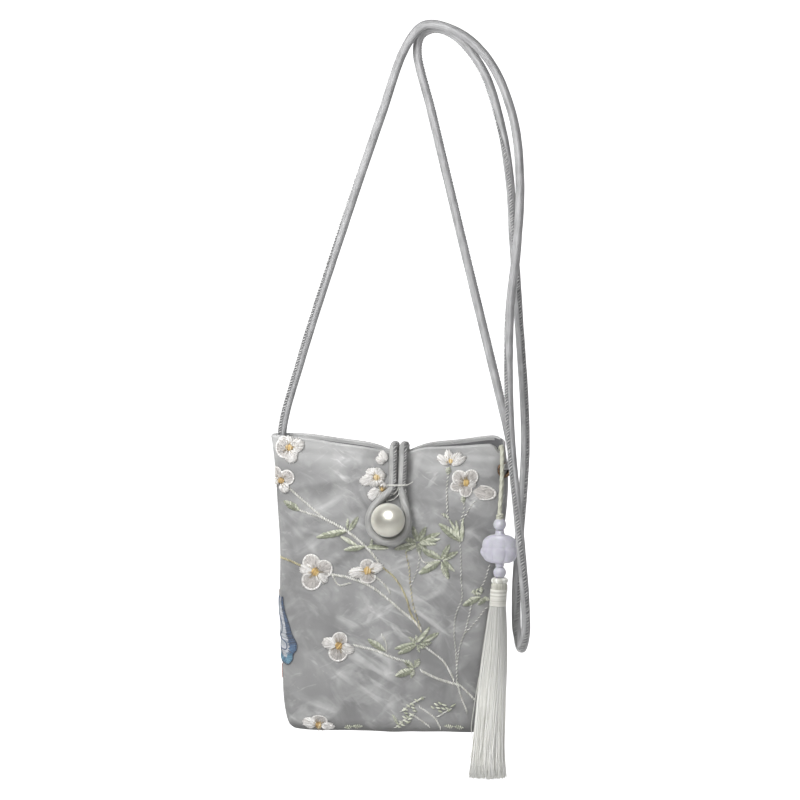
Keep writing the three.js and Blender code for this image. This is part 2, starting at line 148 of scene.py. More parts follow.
def spunPiece(name, profile, steps):
    # radius and height of each corner, spun round z
    nothingSelected()
    bpy.ops.mesh.primitive_circle_add(vertices=len(profile), radius=mm)
    piece = newestPiece(name)
    for vertex, (radius, height) in zip(piece.data.vertices, profile):
        vertex.co = (radius * mm, 0, height * mm)
    bpy.ops.object.mode_set(mode="EDIT")
    bpy.ops.mesh.select_all(action="SELECT")
    bpy.ops.mesh.spin(steps=steps, angle=2 * math.pi, center=(0, 0, 0), axis=(0, 0, 1))
    bpy.ops.object.mode_set(mode="OBJECT")
    closeSeams(piece)
    return piece


# shader maths: a socket with operators, and one method for every other node
class Shade:
    def __init__(self, tree, socket=None):
        self.tree = tree
        self.socket = socket

    def plug(self, node, sockets):
        for key, value in sockets.items():
            socket = node.inputs[key]
            if isinstance(value, Shade):
                self.tree.links.new(value.socket, socket)
            elif socket.type == "RGBA":
                socket.default_value = (*value, 1)
            else:
                socket.default_value = value

    def make(self, kind, settings=None, sockets=None, out=0):
        made = self.tree.nodes.new(kind)
        for key, value in (settings or {}).items():
            if key == "stops":
                for element, (place, colour) in zip(made.color_ramp.elements, value):
                    element.position = place
                    element.color = (*colour, 1)
            else:
                setattr(made, key, value)
        self.plug(made, sockets or {})
        return Shade(self.tree, made.outputs[out])

    def maths(self, operation, first, second):
        return self.make("ShaderNodeMath", {"operation": operation}, {0: first, 1: second})

    def __add__(self, other):
        return self.maths("ADD", self, other)

    def __radd__(self, other):
        return self.maths("ADD", other, self)

    def __sub__(self, other):
        return self.maths("SUBTRACT", self, other)

    def __rsub__(self, other):
        return self.maths("SUBTRACT", other, self)

    def __mul__(self, other):
        return self.maths("MULTIPLY", self, other)

    def __rmul__(self, other):
        return self.maths("MULTIPLY", other, self)

    def blend(self, low, high):
        # the colour sockets of a Mix node come after its float and vector ones
        return self.make("ShaderNodeMix", {"data_type": "RGBA"}, {0: self, 6: low, 7: high}, out=2)

    def ramp(self, low, high):
        stops = [(low, (0, 0, 0)), (high, (1, 1, 1))]
        return self.make("ShaderNodeValToRGB", {"stops": stops}, {"Fac": self})

    def spot(self):
        return self.make("ShaderNodeTexCoord", out="Object")

    def part(self, axis):
        return self.make("ShaderNodeSeparateXYZ", None, {"Vector": self}, out=axis)

    def noise(self, place, scale, detail=3.0, distortion=0.0):
        values = {"Vector": place, "Scale": scale, "Detail": detail, "Distortion": distortion}
        return self.make("ShaderNodeTexNoise", None, values)

    def turned(self, place, rotation, scale):
        turn = tuple(math.radians(angle) for angle in rotation)
        return self.make("ShaderNodeMapping", None, {"Vector": place, "Rotation": turn, "Scale": scale})

    def bump(self, height, strength, distance):
        values = {"Height": height, "Strength": strength, "Distance": distance * mm}
        return self.make("ShaderNodeBump", None, values)


def startFinish(name):
    finish = bpy.data.materials.new(name)
    finish.use_nodes = True
    surface = finish.node_tree.nodes["Principled BSDF"]
    return finish, surface, Shade(finish.node_tree)


# satin: for each layer the scale, detail and distortion of its noise and the ends of its ramp
satinLook = {
    "shadow": tint(129), "light": tint(154), "wispAndSheenColour": tint(226, 226, 225), "paintedFootShade": tint(84, 84, 82),
    "clouds": (26.0, 3.0, 0.6, 0.36, 0.66), "patches": (24.0, 2.0, 0.5, 0.44, 0.62),
    "smudges": (42.0, 5.0, 1.2, 0.50, 0.74), "streaks": (56.0, 5.0, 2.0, 0.52, 0.70),
    "leaning": (92.0, 6.0, 1.2, 0.55, 0.70), "falling": (70.0, 6.0, 1.3, 0.56, 0.71),
    "fineLeaning": (250.0, 3.0, 1.0, 0.60, 0.70), "fineFalling": (210.0, 3.0, 1.0, 0.60, 0.70),
    "wispShare": 0.42, "smudgeShare": 0.24, "streakShare": 0.1, "scratchShare": 0.3,
    # scale, shift and ramp of the height, for a painted sheen along the rim and painted shade at the foot
    "rim": (20.0, 5.88, 0.45, 0.82), "paintedRimSheenShare": 0.34,
    "paintedFootShadeRise": (-125.0, -52.5, 0.1, 1.0), "paintedFootShadeShare": 0.75,
    "weaveScale": 785.0, "weaveShare": 0.10, "crinkleScale": 160.0, "crinkleShare": 0.8, "wispRise": 0.6,
}


def satinFinish():
    look = satinLook
    finish, surface, shade = startFinish("pouch_satin")
    spot = shade.spot()
    high = spot.part("Z")

    def layer(name, place):
        scale, detail, distortion, low, top = look[name]
        return shade.noise(place, scale, detail, distortion).ramp(low, top)

    def slope(angle, squash):
        leant = shade.turned(spot, (0, angle, 0), (1, 1, 1))
        return shade.turned(leant, (0, 0, 0), (1.0, 1.0, squash))

    def weave(direction):
        values = {"Vector": spot, "Scale": look["weaveScale"], "Distortion": 0.4}
        return shade.make("ShaderNodeTexWave", {"bands_direction": direction}, values)

    def zone(name):
        scale, shift, low, top = look[name]
        return (high * scale + shift).ramp(low, top)

    upward, downward, across = slope(58, 0.26), slope(-64, 0.30), slope(38, 0.38)
    clouds = layer("clouds", spot)
    scratches = layer("fineLeaning", upward) + layer("fineFalling", downward)
    crossing = (layer("leaning", upward) + layer("falling", downward)) * layer("patches", spot)
    wispsAndRimSheen = crossing * look["wispShare"] + layer("smudges", spot) * look["smudgeShare"]
    wispsAndRimSheen = wispsAndRimSheen + layer("streaks", across) * look["streakShare"]
    # the last term is a painted sheen, lighter towards the rim
    wispsAndRimSheen = wispsAndRimSheen + scratches * clouds * look["scratchShare"] + zone("rim") * look["paintedRimSheenShare"]
    cloth = wispsAndRimSheen.blend(clouds.blend(look["shadow"], look["light"]), look["wispAndSheenColour"])
    crinkle = shade.noise(spot, look["crinkleScale"], 4.0, 1.0)
    height = (weave("X") + weave("Z")) * look["weaveShare"] + crinkle * look["crinkleShare"]
    shade.plug(surface, {
        # painted shade darkens the foot of the bag
        "Base Color": (zone("paintedFootShadeRise") * look["paintedFootShadeShare"]).blend(cloth, look["paintedFootShade"]),
        "Roughness": 0.56 - wispsAndRimSheen * 0.16,
        "Normal": shade.bump(height + wispsAndRimSheen * look["wispRise"], 0.35, 0.55),
        "Sheen Weight": 0.25,
        "Sheen Roughness": 0.45,
    })
    return finish


# the lining is real inner cloth, and its dark greys are painted shade inside the mouth
def paintedShadeLiningFinish():
    finish, surface, shade = startFinish("pouch_lining_painted_shade")
    clouds = shade.noise(shade.spot(), 60.0, 4.0, 0.6)
    shade.plug(surface, {
        "Base Color": clouds.ramp(0.35, 0.65).blend(tint(100, 100, 102), tint(122, 122, 124)),
        "Roughness": 0.5 + clouds * 0.1,
        "Normal": shade.bump(clouds, 0.2, 0.3),
        "Sheen Weight": 0.25,
        "Sheen Roughness": 0.45,
    })
    return finish


def cordFinish(name, dark, light, weaveScale, seamShade=0.0):
    look = {"creaseScale": (60.0, 900.0, 1.0), "creaseShare": 0.6, "mottleScale": 120.0, "mottleShare": 0.4,
            "seamReach": 520.0, "paintedSeamShade": tint(98, 98, 100), "plyRise": 0.35, "creaseRise": 0.9}
    finish, surface, shade = startFinish(name)
    line = shade.make("ShaderNodeUVMap", {"uv_map": "along"})
    values = {"Vector": line, "Scale": weaveScale, "Distortion": 0.6, "Detail": 1.0}
    ply = shade.make("ShaderNodeTexWave", {"bands_direction": "DIAGONAL"}, values)
    crease = shade.noise(shade.turned(line, (0, 0, 0), look["creaseScale"]), 1.0, 4.0, 0.5)
    mottle = shade.noise(shade.spot(), look["mottleScale"], 3.0)
    cloth = (crease * look["creaseShare"] + mottle * look["mottleShare"]).ramp(0.35, 0.66).blend(dark, light)
    # painted shade along the seam, which runs at v = 0
    paintedSeamShade = (1.0 - (line.part("Y") * look["seamReach"]).ramp(0.5, 1.0)) * seamShade
    shade.plug(surface, {
        "Base Color": paintedSeamShade.blend(cloth, look["paintedSeamShade"]),
        "Roughness": 0.55 - crease * 0.2,
        "Normal": shade.bump(ply * look["plyRise"] + crease * look["creaseRise"], 0.45, 0.25),
    })
    return finish


def threadFinish(name, roughness, sheen):
    finish, surface, shade = startFinish(name)
    threadTones = shade.make("ShaderNodeVertexColor", {"layer_name": "threadColour"})
    fibre = shade.noise(shade.spot(), 1500.0, 2.0)
    shade.plug(surface, {
        "Base Color": (fibre * 0.2).blend(threadTones, tint(240, 239, 235)),
        "Roughness": roughness + fibre * 0.15,
        "Normal": shade.bump(fibre, 0.25, 0.08),
        "Sheen Weight": sheen,
        "Sheen Roughness": 0.35,
    })
    return finish


def pearlFinish():
    finish, surface, shade = startFinish("button_pearl")
    lustre = shade.noise(shade.spot(), 60.0, 2.0).ramp(0.35, 0.65)
    edge = shade.make("ShaderNodeLayerWeight", None, {"Blend": 0.5}, out="Facing").ramp(0.2, 0.6)
    shade.plug(surface, {
        "Base Color": lustre.blend(tint(220, 218, 205), tint(235, 233, 222)),
        "Metallic": 0.9 - 0.9 * edge,
        "Roughness": 0.28 + lustre * 0.05,
        "Sheen Weight": 0.5,
        "Sheen Roughness": 0.3,
        "Coat Weight": 0.8,
        "Coat Roughness": 0.17,
        "Subsurface Weight": 0.15,
        "Subsurface Radius": (0.004, 0.003, 0.0025),
        "Specular IOR Level": 0.7,
    })
    return finish


def brassFinish():
    finish, surface, shade = startFinish("eyelet_brass")
    tarnish = shade.noise(shade.spot(), 420.0, 5.0, 0.4)
    shade.plug(surface, {
        "Base Color": tarnish.ramp(0.4, 0.65).blend(tint(74, 58, 50), tint(150, 122, 96)),
        "Metallic": 0.9,
        "Roughness": 0.26 + tarnish * 0.25,
        "Normal": shade.bump(tarnish, 0.2, 0.05),
    })
    return finish


def beadFinish():
    finish, surface, shade = startFinish("bead_lavender")
    cloud = shade.noise(shade.spot(), 130.0, 3.0, 0.8)
    shade.plug(surface, {
        "Base Color": cloud.ramp(0.3, 0.7).blend(tint(192, 191, 201), tint(208, 207, 217)),
        "Roughness": 0.36 + cloud * 0.12,
        "Subsurface Weight": 0.55,
        "Subsurface Radius": (0.006, 0.005, 0.007),
        "Coat Weight": 0.25,
        "Coat Roughness": 0.2,
    })
    return finish


# lines and tubes
def steadyTable(rows, at):
    # smooth value between a table's rows, never past its neighbours; the first column is the place
    rows = np.array(rows, float)
    place, values = rows[:, 0], rows[:, 1:]
    at = np.clip(np.asarray(at, float), place[0], place[-1])
    steps = np.diff(place)
    secant = np.diff(values, axis=0) / steps[:, None]
    same = secant[:-1] * secant[1:] > 0
    both = np.where(same, secant[:-1] + secant[1:], 1.0)
    inner = np.where(same, 2 * secant[:-1] * secant[1:] / both, 0.0)
    slopes = np.concatenate([secant[:1], inner, secant[-1:]])
    i = np.clip(np.searchsorted(place, at, side="right") - 1, 0, len(place) - 2)
    t = ((at - place[i]) / steps[i])[..., None]
    span = steps[i][..., None]
    rise = values[i] * (2 * t ** 3 - 3 * t ** 2 + 1) + values[i + 1] * (3 * t ** 2 - 2 * t ** 3)
    return rise + span * (slopes[i] * (t ** 3 - 2 * t ** 2 + t) + slopes[i + 1] * (t ** 3 - t ** 2))


def smoothLine(points, steps):
    # centripetal curve through the points, with the same number of steps in each stretch
    points = np.array(points, float)
    points = np.concatenate([2 * points[:1] - points[1:2], points, 2 * points[-1:] - points[-2:-1]])
    gaps = np.maximum(np.linalg.norm(np.diff(points, axis=0), axis=1) ** 0.5, 1e-4)[:, None]
    p0, p1, p2, p3 = points[:-3], points[1:-2], points[2:-1], points[3:]
    g0, g1, g2 = gaps[:-2], gaps[1:-1], gaps[2:]
    start = ((p1 - p0) / g0 - (p2 - p0) / (g0 + g1) + (p2 - p1) / g1) * g1
    end = ((p2 - p1) / g1 - (p3 - p1) / (g1 + g2) + (p3 - p2) / g2) * g1
    t = (np.arange(steps) / steps)[None, :, None]
    p1, p2, start, end = p1[:, None], p2[:, None], start[:, None], end[:, None]
    bend, twist = 3 * p2 - 3 * p1 - 2 * start - end, 2 * p1 - 2 * p2 + start + end
    line = p1 + start * t + bend * t ** 2 + twist * t ** 3
    return np.concatenate([line.reshape(-1, points.shape[1]), points[-2:-1]])


def lineLength(line):
    return float(np.linalg.norm(np.diff(line, axis=0), axis=1).sum())


def travelled(line):
    return np.concatenate([[0], np.cumsum(np.linalg.norm(np.diff(line, axis=0), axis=1))])


def evenLine(line, step):
    travel = travelled(line)
    at = np.linspace(0, travel[-1], max(3, int(travel[-1] / step) + 1))
    return np.stack([np.interp(at, travel, line[:, k]) for k in range(line.shape[1])], axis=1)


def carriedFrame(line, first):
    # a front carried along the line without twist, and the side beside it
    tangents = unit(np.gradient(line, axis=0))
    fronts = np.empty_like(line)
    front = np.array(first, float)
    for i, tangent in enumerate(tangents):
        front = front - tangent * np.dot(front, tangent)
        front = front / np.linalg.norm(front)
        fronts[i] = front
    return fronts, np.cross(tangents, fronts)


def sweptRing(angle, front, beside):
    return np.cos(angle)[..., None] * front[:, None] + np.sin(angle)[..., None] * beside[:, None]


def tubeFaces(rings, sides):
    index = np.arange(rings * sides).reshape(rings, sides)
    a, b = index[:-1], np.roll(index[:-1], -1, axis=1)
    c, d = index[1:], np.roll(index[1:], -1, axis=1)
    faces = np.stack([a, b, d, c], axis=-1).reshape(-1, 4).tolist()
    return faces + [index[0][::-1].tolist(), index[-1].tolist()]


def tubePiece(name, points, travel, around):
    # a closed tube through rings of points; travel and around become its UVs
    uvs = np.stack(np.broadcast_arrays(travel[:, None], around[None]), axis=-1)
    return meshPiece(name, points, tubeFaces(*points.shape[:2]), uvs=uvs)


def softNoise(points, size, seed):
    shift = Vector((seed * 7.3, seed * 3.1, seed * 5.7))
    values = [noise.noise(Vector(p) / size + shift) for p in points.reshape(-1, 3)]
    return np.array(values).reshape(points.shape[:-1])


# many threads at once, kept as arrays until they become one mesh
class Stitches:
    def __init__(self):
        self.points = []
        self.faces = []
        self.colours = []
        self.count = 0

    def add(self, paths, normals, radii, colours, sides=5, flat=0.75):
        threads, steps, _ = paths.shape
        along = unit(np.gradient(paths, axis=1))
        across = unit(np.cross(along, normals))
        upward = np.cross(across, along)
        turn = ringAngles(sides)
        ring = np.cos(turn)[:, None] * across[:, :, None] + flat * np.sin(turn)[:, None] * upward[:, :, None]
        radii = np.broadcast_to(radii, (threads, steps))
        self.points.append((paths[:, :, None] + radii[:, :, None, None] * ring).reshape(-1, 3))
        index = self.count + np.arange(threads * steps * sides).reshape(threads, steps, sides)
        a, b = index[:, :-1], np.roll(index[:, :-1], -1, axis=2)
        c, d = index[:, 1:], np.roll(index[:, 1:], -1, axis=2)
        self.faces += np.stack([a, c, d, b], axis=-1).reshape(-1, 4).tolist()
        self.faces += index[:, 0].tolist() + index[:, -1, ::-1].tolist()
        colours = np.asarray(colours, float).reshape(threads, -1, 1, 3)
        self.colours.append(np.broadcast_to(colours, (threads, steps, sides, 3)).reshape(-1, 3))
        self.count += threads * steps * sides

    def lay(self, cloth, spots, lift, radii, colours, sides=5):
        # threads at spots charted on a cloth map, lifted off the cloth
        place, normals = cloth.at(spots)
        lift = np.broadcast_to(lift, spots.shape[:2])
        self.add(place + normals * lift[..., None], normals, radii, colours, sides)

    def piece(self, name):
        return meshPiece(name, np.concatenate(self.points), self.faces, np.concatenate(self.colours))


def shades(rng, count, low, high):
    mix = rng.random((count, 1))
    return np.array(low) * (1 - mix) + np.array(high) * mix


def facingFront(path):
    return np.broadcast_to(np.array((0.0, -1.0, 0.0)), path.shape)


print("tools ready")


# the strap: a sewn fabric cord, its route as it hangs
strap = {
    "diameter": 5.5, "sides": 16, "steps": 30, "squeezeFrom": 0.9, "squeezeLength": 16.0, "squeeze": 0.66,
    "grooveDepth": 0.2, "grooveWidth": 0.6, "stitchStep": 1.8, "stitchRadius": 0.31,
    "route": [
        (-89.6, 0, -263), (-91.2, 0, -246), (-79, 0, -200), (-55.5, -1.5, -128), (-29, -2.6, -51),
        (-14.5, -3.2, -11), (-4.5, -3.2, 1.6), (4, -3.2, 2.8), (22, -3.2, -4.5), (38.5, -3.6, -22),
        (51.5, -5.5, -54), (56, -9, -91), (54.5, -12.5, -132), (50.6, -14, -170), (51, -17, -236),
        (58, -24.5, -303), (62, -26, -350), (61.6, -24, -366), (58.2, -14.5, -375), (54.4, -5, -366),
        (53.6, -3, -347), (55.2, -3, -313), (59, -3, -250), (54.6, -3.5, -170.5), (51.7, -3.5, -129.5),
        (49.5, -0.8, -97), (43.6, 2.2, -60.5), (32, 3.4, -25), (15, 3.3, -4.2), (3, 3.2, 0.2),
        (-5.5, 3.2, -3.4), (-8.2, 3.2, -13), (0.8, 3, -51), (20, 2, -130), (42.5, 0, -221),
        (48.6, -1.4, -246), (50.8, -4.4, -258.2), (49.8, -5.8, -264.2), (45.6, -2.6, -265.6),
        (41.6, 0.6, -266),
    ],
    # share of the length, turn of the seam from the front in degrees
    "seam": [
        (0, -30), (0.05, -36), (0.085, -50), (0.112, -74), (0.14, -125), (0.21, -190), (0.24, -226),
        (0.34, -236), (0.385, -330), (0.42, -336), (0.45, -365), (0.485, -405), (0.53, -174), (0.63, -170),
        (0.66, -188), (0.695, -224), (0.72, -234), (0.742, -300), (0.77, -345), (0.8, -352), (1, -355),
    ],
}

# whip stitches over the seam of a cord, and the crinkles of its cloth as size, depth and seed
sewing = {
    "margin": 2.0, "jitter": 0.2, "steps": 5, "half": 0.5, "swing": (0.4, 0.62), "seat": 0.97, "bow": 0.4,
    "taper": 0.55, "colours": (tint(160), tint(212)), "girth": 0.017,
    "crinkles": ((5.0, 0.035, 8), (14.0, 0.03, 9)),
}


def sewnCord(name, stitchName, line, radius, look, finish, threadLook, seed):
    # cloth tube with a sunk seam, and whip stitches over the seam
    rng = np.random.default_rng(seed)
    travel = travelled(line)
    front, beside = carriedFrame(line, (0.0, -1.0, 0.0))
    seam = np.radians(steadyTable(look["seam"], travel / travel[-1])[:, 0])
    turn = ringAngles(look["sides"])
    away = np.minimum(turn, 2 * math.pi - turn)
    groove = 1 - look["grooveDepth"] * np.exp(-(away / look["grooveWidth"]) ** 2)
    ring = sweptRing(seam[:, None] + turn[None], front, beside)
    spots = line[:, None] + radius[:, None, None] * ring
    crinkle = 1
    for size, depth, noiseSeed in sewing["crinkles"]:
        crinkle = crinkle + depth * softNoise(spots, size, noiseSeed)
    points = line[:, None] + (radius[:, None] * groove[None] * crinkle)[..., None] * ring
    piece = tubePiece(name, points, travel * mm, away / (2 * math.pi) * sewing["girth"])

    at = np.arange(sewing["margin"], travel[-1] - sewing["margin"], look["stitchStep"])
    at = at + look["stitchStep"] * rng.uniform(-sewing["jitter"], sewing["jitter"], len(at))
    bow = np.linspace(-1, 1, sewing["steps"])
    place = at[:, None] + bow[None] * look["stitchStep"] * sewing["half"]

    def pick(values):
        return np.stack([np.interp(place, travel, values[:, k]) for k in range(3)], axis=-1)

    lean = np.interp(place, travel, seam) + bow[None] * rng.uniform(*sewing["swing"], (len(at), 1))
    outward = unit(np.cos(lean)[..., None] * pick(front) + np.sin(lean)[..., None] * pick(beside))
    lift = np.interp(place, travel, radius) * sewing["seat"]
    lift = lift + look["stitchRadius"] * sewing["bow"] * (1 - bow ** 2)[None]
    thick = look["stitchRadius"] * (1 - sewing["taper"] * bow ** 4)[None]
    colours = shades(rng, len(at), *sewing["colours"])
    whipped = Stitches()
    whipped.add(pick(line) + lift[..., None] * outward, outward, thick, colours)
    finishPiece(piece, finish, "strap_cloth", name)
    return piece, finishPiece(whipped.piece(stitchName), threadLook, "thread")


# the knot that stops the strap inside the bag
strapKnot = {
    "place": (37.8, 1.5, -266.2), "ring": 1.55, "swing": 0.75, "depth": 0.95, "waves": 3, "turns": 2,
    "radius": 1.25, "steps": 90, "sides": 10, "length": 0.04, "girth": 0.0027,
}


def makeStrapKnot(finish):
    turn = np.linspace(0, 2 * math.pi, strapKnot["steps"], endpoint=False)
    wave, wind = strapKnot["waves"] * turn, strapKnot["turns"] * turn
    reach = strapKnot["ring"] + strapKnot["swing"] * np.cos(wave)
    line = np.stack([np.sin(wave) * strapKnot["depth"], reach * np.cos(wind), reach * np.sin(wind)], axis=-1)
    line = np.array(strapKnot["place"]) + line
    closed = np.concatenate([line, line[:1]])
    angle = ringAngles(strapKnot["sides"])
    points = closed[:, None] + strapKnot["radius"] * sweptRing(angle, *carriedFrame(closed, (1.0, 0.0, 0.0)))
    travel = np.linspace(0, strapKnot["length"], len(closed))
    piece = tubePiece("strap_knot", points, travel, angle * strapKnot["girth"])
    return finishPiece(piece, finish, "strap_cloth", "strap_knot")


def makeStrap(finish, threadLook):
    line = smoothLine(strap["route"], strap["steps"])
    toEnd = np.linalg.norm(line - line[-1], axis=1) / strap["squeezeLength"]
    nearEnd = np.arange(len(line)) > len(line) * strap["squeezeFrom"]
    share = np.where(nearEnd, strap["squeeze"] + (1 - strap["squeeze"]) * np.minimum(1, toEnd) ** 2, 1.0)
    radius = strap["diameter"] / 2 * share
    piece, stitches = sewnCord("strap", "strap_stitches", line, radius, strap, finish, threadLook, 11)
    makeStrapKnot(finish)
    return lineLength(line)


# the drop: cord, beads and tassel
drop = {
    "x": 44.8, "y": -14.5, "cord": 2.8, "sides": 18, "steps": 60, "step": 0.35, "plies": 3, "lay": 5.2,
    "plyDepth": 0.1, "girth": 0.0088,
    "route": [
        (40.6, 0, -264), (42.6, -0.2, -257), (44.3, -3.2, -253.2), (45.3, -6.8, -255.2), (45.5, -8.8, -261),
        (45.6, -10.4, -271), (45.2, -13, -283), (44.8, -14.5, -291), (44.8, -14.5, -299),
        (44.8, -14.5, -318), (44.8, -14.5, -335.3),
    ],
    "knotZ": -294.7, "knotTurns": 3, "knotRise": 0.9, "knotSway": 0.5, "knotRadius": 1.75, "knotThread": 0.62,
    "knotColours": (tint(176, 176, 160), tint(200, 200, 184)),
    "upperZ": -299.4, "flowerZ": -313.7, "lowerZ": -328.8, "beadRadius": 3.9, "bore": 1.7, "beadRows": 22,
    "beadSides": 48,
}


def makeTasselCord(finish):
    line = evenLine(smoothLine(drop["route"], drop["steps"]), drop["step"])
    travel = np.arange(len(line)) * lineLength(line) / (len(line) - 1)
    turn = ringAngles(drop["sides"])
    twist = np.cos(drop["plies"] * turn[None] - 2 * math.pi * travel[:, None] / drop["lay"])
    radius = drop["cord"] / 2 * (1 - drop["plyDepth"] + drop["plyDepth"] * twist)
    points = line[:, None] + radius[..., None] * sweptRing(turn, *carriedFrame(line, (0.0, -1.0, 0.0)))
    piece = tubePiece("tassel_cord", points, travel * mm, turn / (2 * math.pi) * drop["girth"])
    finishPiece(piece, finish, "celadon_cord", "tassel_cord")
    drop["cord"] * mm
    return lineLength(line)


sewingThread = threadFinish("sewing_thread", 0.55, 0.2)
rouleau = cordFinish("strap_rouleau", tint(143, 143, 144), tint(186, 186, 187), 420.0, 0.62)
print("strap hung, %.0f mm" % makeStrap(rouleau, sewingThread))
celadon = cordFinish("celadon_cord", tint(180, 181, 164), tint(206, 206, 190), 700.0)
print("tassel cord hung, %.0f mm" % makeTasselCord(celadon))


# the pouch: its sections, rim and folds, in the frame's own places
pouch = {
    "wall": 1.6, "baseZ": -428.0, "baseShare": 0.014, "columns": 300, "wallRows": 146, "hemRows": 17,
    "innerRows": 44, "baseRows": 9, "height": 176.0, "hemRadius": 1.25, "hemMiddle": 1.0, "hemFrom": -30.0,
    "hemDrop": 3.6, "turnIn": 9.0, "turnInRows": 5, "liningBelow": 0.6, "hemLift": 0.4, "hemShown": 2.8,
    "loopX": -18.6, "pinchReachX": 15.0, "pinchReachZ": 20.0, "pinchHalf": 2.5,
    "middleX": -24.5, "sideShare": 0.2, "creaseGain": 2.0,
    # half width, half depth and squareness of a typical section
    "typical": (70, 12, 4.4),
    # where the cloth lies calm beside the loop: reach across, height and reach of height
    "calm": (17, -257, 16),
    # how the foot and the sides waver: depth, size, seed, reach
    "footWaver": (0.8, 16.0, 5, 4.0), "sideWaver": (0.7, 22.0, 6, 6),
    # share of the height, left, right, half depth, squareness
    "sections": [
        (0, -83.7, 28.9, 11.2, 5.0), (0.014, -86.4, 30.9, 13.0, 5.0), (0.056, -88.6, 32.5, 13.7, 5.0),
        (0.13, -90.1, 33.7, 13.8, 5.0), (0.22, -90.7, 35.1, 13.5, 4.8), (0.30, -91.1, 36.6, 13.2, 4.7),
        (0.40, -91.6, 38.7, 12.8, 4.6), (0.50, -92.0, 41.3, 12.3, 4.5), (0.58, -92.3, 43.1, 11.8, 4.4),
        (0.66, -92.7, 44.8, 11.2, 4.3), (0.74, -93.3, 46.5, 10.5, 4.2), (0.81, -94.0, 47.5, 9.7, 4.2),
        (0.87, -94.8, 47.9, 8.9, 4.1), (0.92, -95.8, 47.7, 8.1, 4.1), (0.96, -96.7, 47.1, 7.3, 4.0),
        (0.985, -97.3, 46.5, 6.8, 4.0), (1, -97.6, 46.2, 6.5, 4.0),
    ],
    # place across, height of the front rim, height of the back rim
    "rim": [
        (-96, -248.4, -247.4), (-80, -249.1, -247.5), (-55, -252.5, -250.4), (-41, -254.2, -252.0),
        (-33, -255.6, -253.5), (-26.5, -256.8, -255.8), (-24, -257.4, -257.0), (-13.2, -257.4, -257.0),
        (-11.8, -257.0, -256.2), (-5.6, -255.2, -253.6), (0.6, -254.1, -252.0), (19, -253.2, -249.8),
        (37, -252.3, -246.8), (40.5, -254.4, -246.4), (43, -259.0, -246.2),
    ],
    # from x and z, to x and z, reach, depth
    "folds": [
        (-8, -262, 32, -268, 5, 1.3), (-6, -272, 34, -288, 6, 1.2), (-30, -264, -66, -288, 7, 1.2),
        (-40, -318, -80, -352, 8, 0.8), (-8, -322, 26, -372, 9, 0.9),
    ],
    # finer creases, raised where the depth is negative
    "creases": [
        (-6, -257, 40, -259, 2.2, 0.45), (-8, -266, 42, -271, 2.4, -0.4), (-2, -279, 42, -276, 2.6, 0.4),
        (-4, -284, 38, -296, 2.8, -0.35), (-30, -262, -88, -258, 3.0, 0.4),
        (-32, -272, -84, -279, 3.0, -0.4), (-38, -292, -86, -318, 3.4, 0.4),
        (-36, -312, -70, -330, 3.0, -0.35), (-60, -300, -90, -306, 2.6, 0.35),
        (4, -300, 38, -306, 2.6, 0.4), (-14, -316, 12, -352, 3.2, -0.4), (8, -330, 36, -340, 3.0, 0.4),
        (-84, -372, -58, -392, 3.0, 0.4), (-50, -380, -30, -404, 3.0, 0.35),
        (-14, -384, 16, -400, 3.2, -0.4), (-88, -404, -62, -418, 2.8, -0.45),
        (-20, -410, 22, -416, 2.6, 0.35), (14, -362, 34, -398, 2.8, 0.35),
    ],
    "softness": ((31.0, 0.55), (12.0, 0.22), (5.5, 0.07)),
}


def pressed(lines, x, z):
    push = np.zeros_like(x)
    for fromX, fromZ, toX, toZ, reach, depth in lines:
        dx, dz = toX - fromX, toZ - fromZ
        along = np.clip(((x - fromX) * dx + (z - fromZ) * dz) / (dx * dx + dz * dz), 0, 1)
        away = np.hypot(x - fromX - along * dx, z - fromZ - along * dz)
        push += depth * np.exp(-(away / reach) ** 2)
    return push


def clothPoint(share, station, side, inset=0.0):
    left, right, half, square = np.moveaxis(steadyTable(pouch["sections"], share), -1, 0)
    x = (left + right) / 2 + ((right - left) / 2 - inset) * station
    bulge = (1 - np.abs(station) ** square) ** (1 / square)
    front, back = np.moveaxis(steadyTable(pouch["rim"], x), -1, 0)
    rimZ = (front + back) / 2 + side * bulge * (back - front) / 2
    z = pouch["baseZ"] + share * (rimZ - pouch["baseZ"])
    reach = ((x - pouch["loopX"]) / pouch["pinchReachX"]) ** 2 + ((rimZ - z) / pouch["pinchReachZ"]) ** 2
    pinch = np.exp(-reach)
    depth = half + (pouch["pinchHalf"] - half) * pinch
    push = np.where(side < 0, pressed(pouch["folds"], x, z) * bulge * (1 - pinch), 0.0)
    return np.stack([x, side * (depth - inset) * bulge + push, z], axis=-1)


def clothDepth(x, z, side=-1.0):
    # y of the front or the back at one place
    x, z = np.array([x], float), np.array([z], float)
    rimZ = steadyTable(pouch["rim"], x)[..., 0 if side < 0 else 1]
    share = (z - pouch["baseZ"]) / (rimZ - pouch["baseZ"])
    left, right = np.moveaxis(steadyTable(pouch["sections"], share), -1, 0)[:2]
    station = (2 * x - left - right) / (right - left)
    return float(clothPoint(share, station, np.full_like(x, side))[0, 1])


def evenStations(count):
    # places across one side, evenly spaced along a typical section
    sweep = np.linspace(math.pi, 0, 4001)
    wide, deep, square = pouch["typical"]
    station = np.sign(np.cos(sweep)) * np.abs(np.cos(sweep)) ** (2 / square)
    depth = np.abs(np.sin(sweep)) ** (2 / square)
    travel = np.concatenate([[0], np.cumsum(np.hypot(wide * np.diff(station), deep * np.diff(depth)))])
    return np.interp(np.linspace(0, travel[-1], count + 1), travel, station)


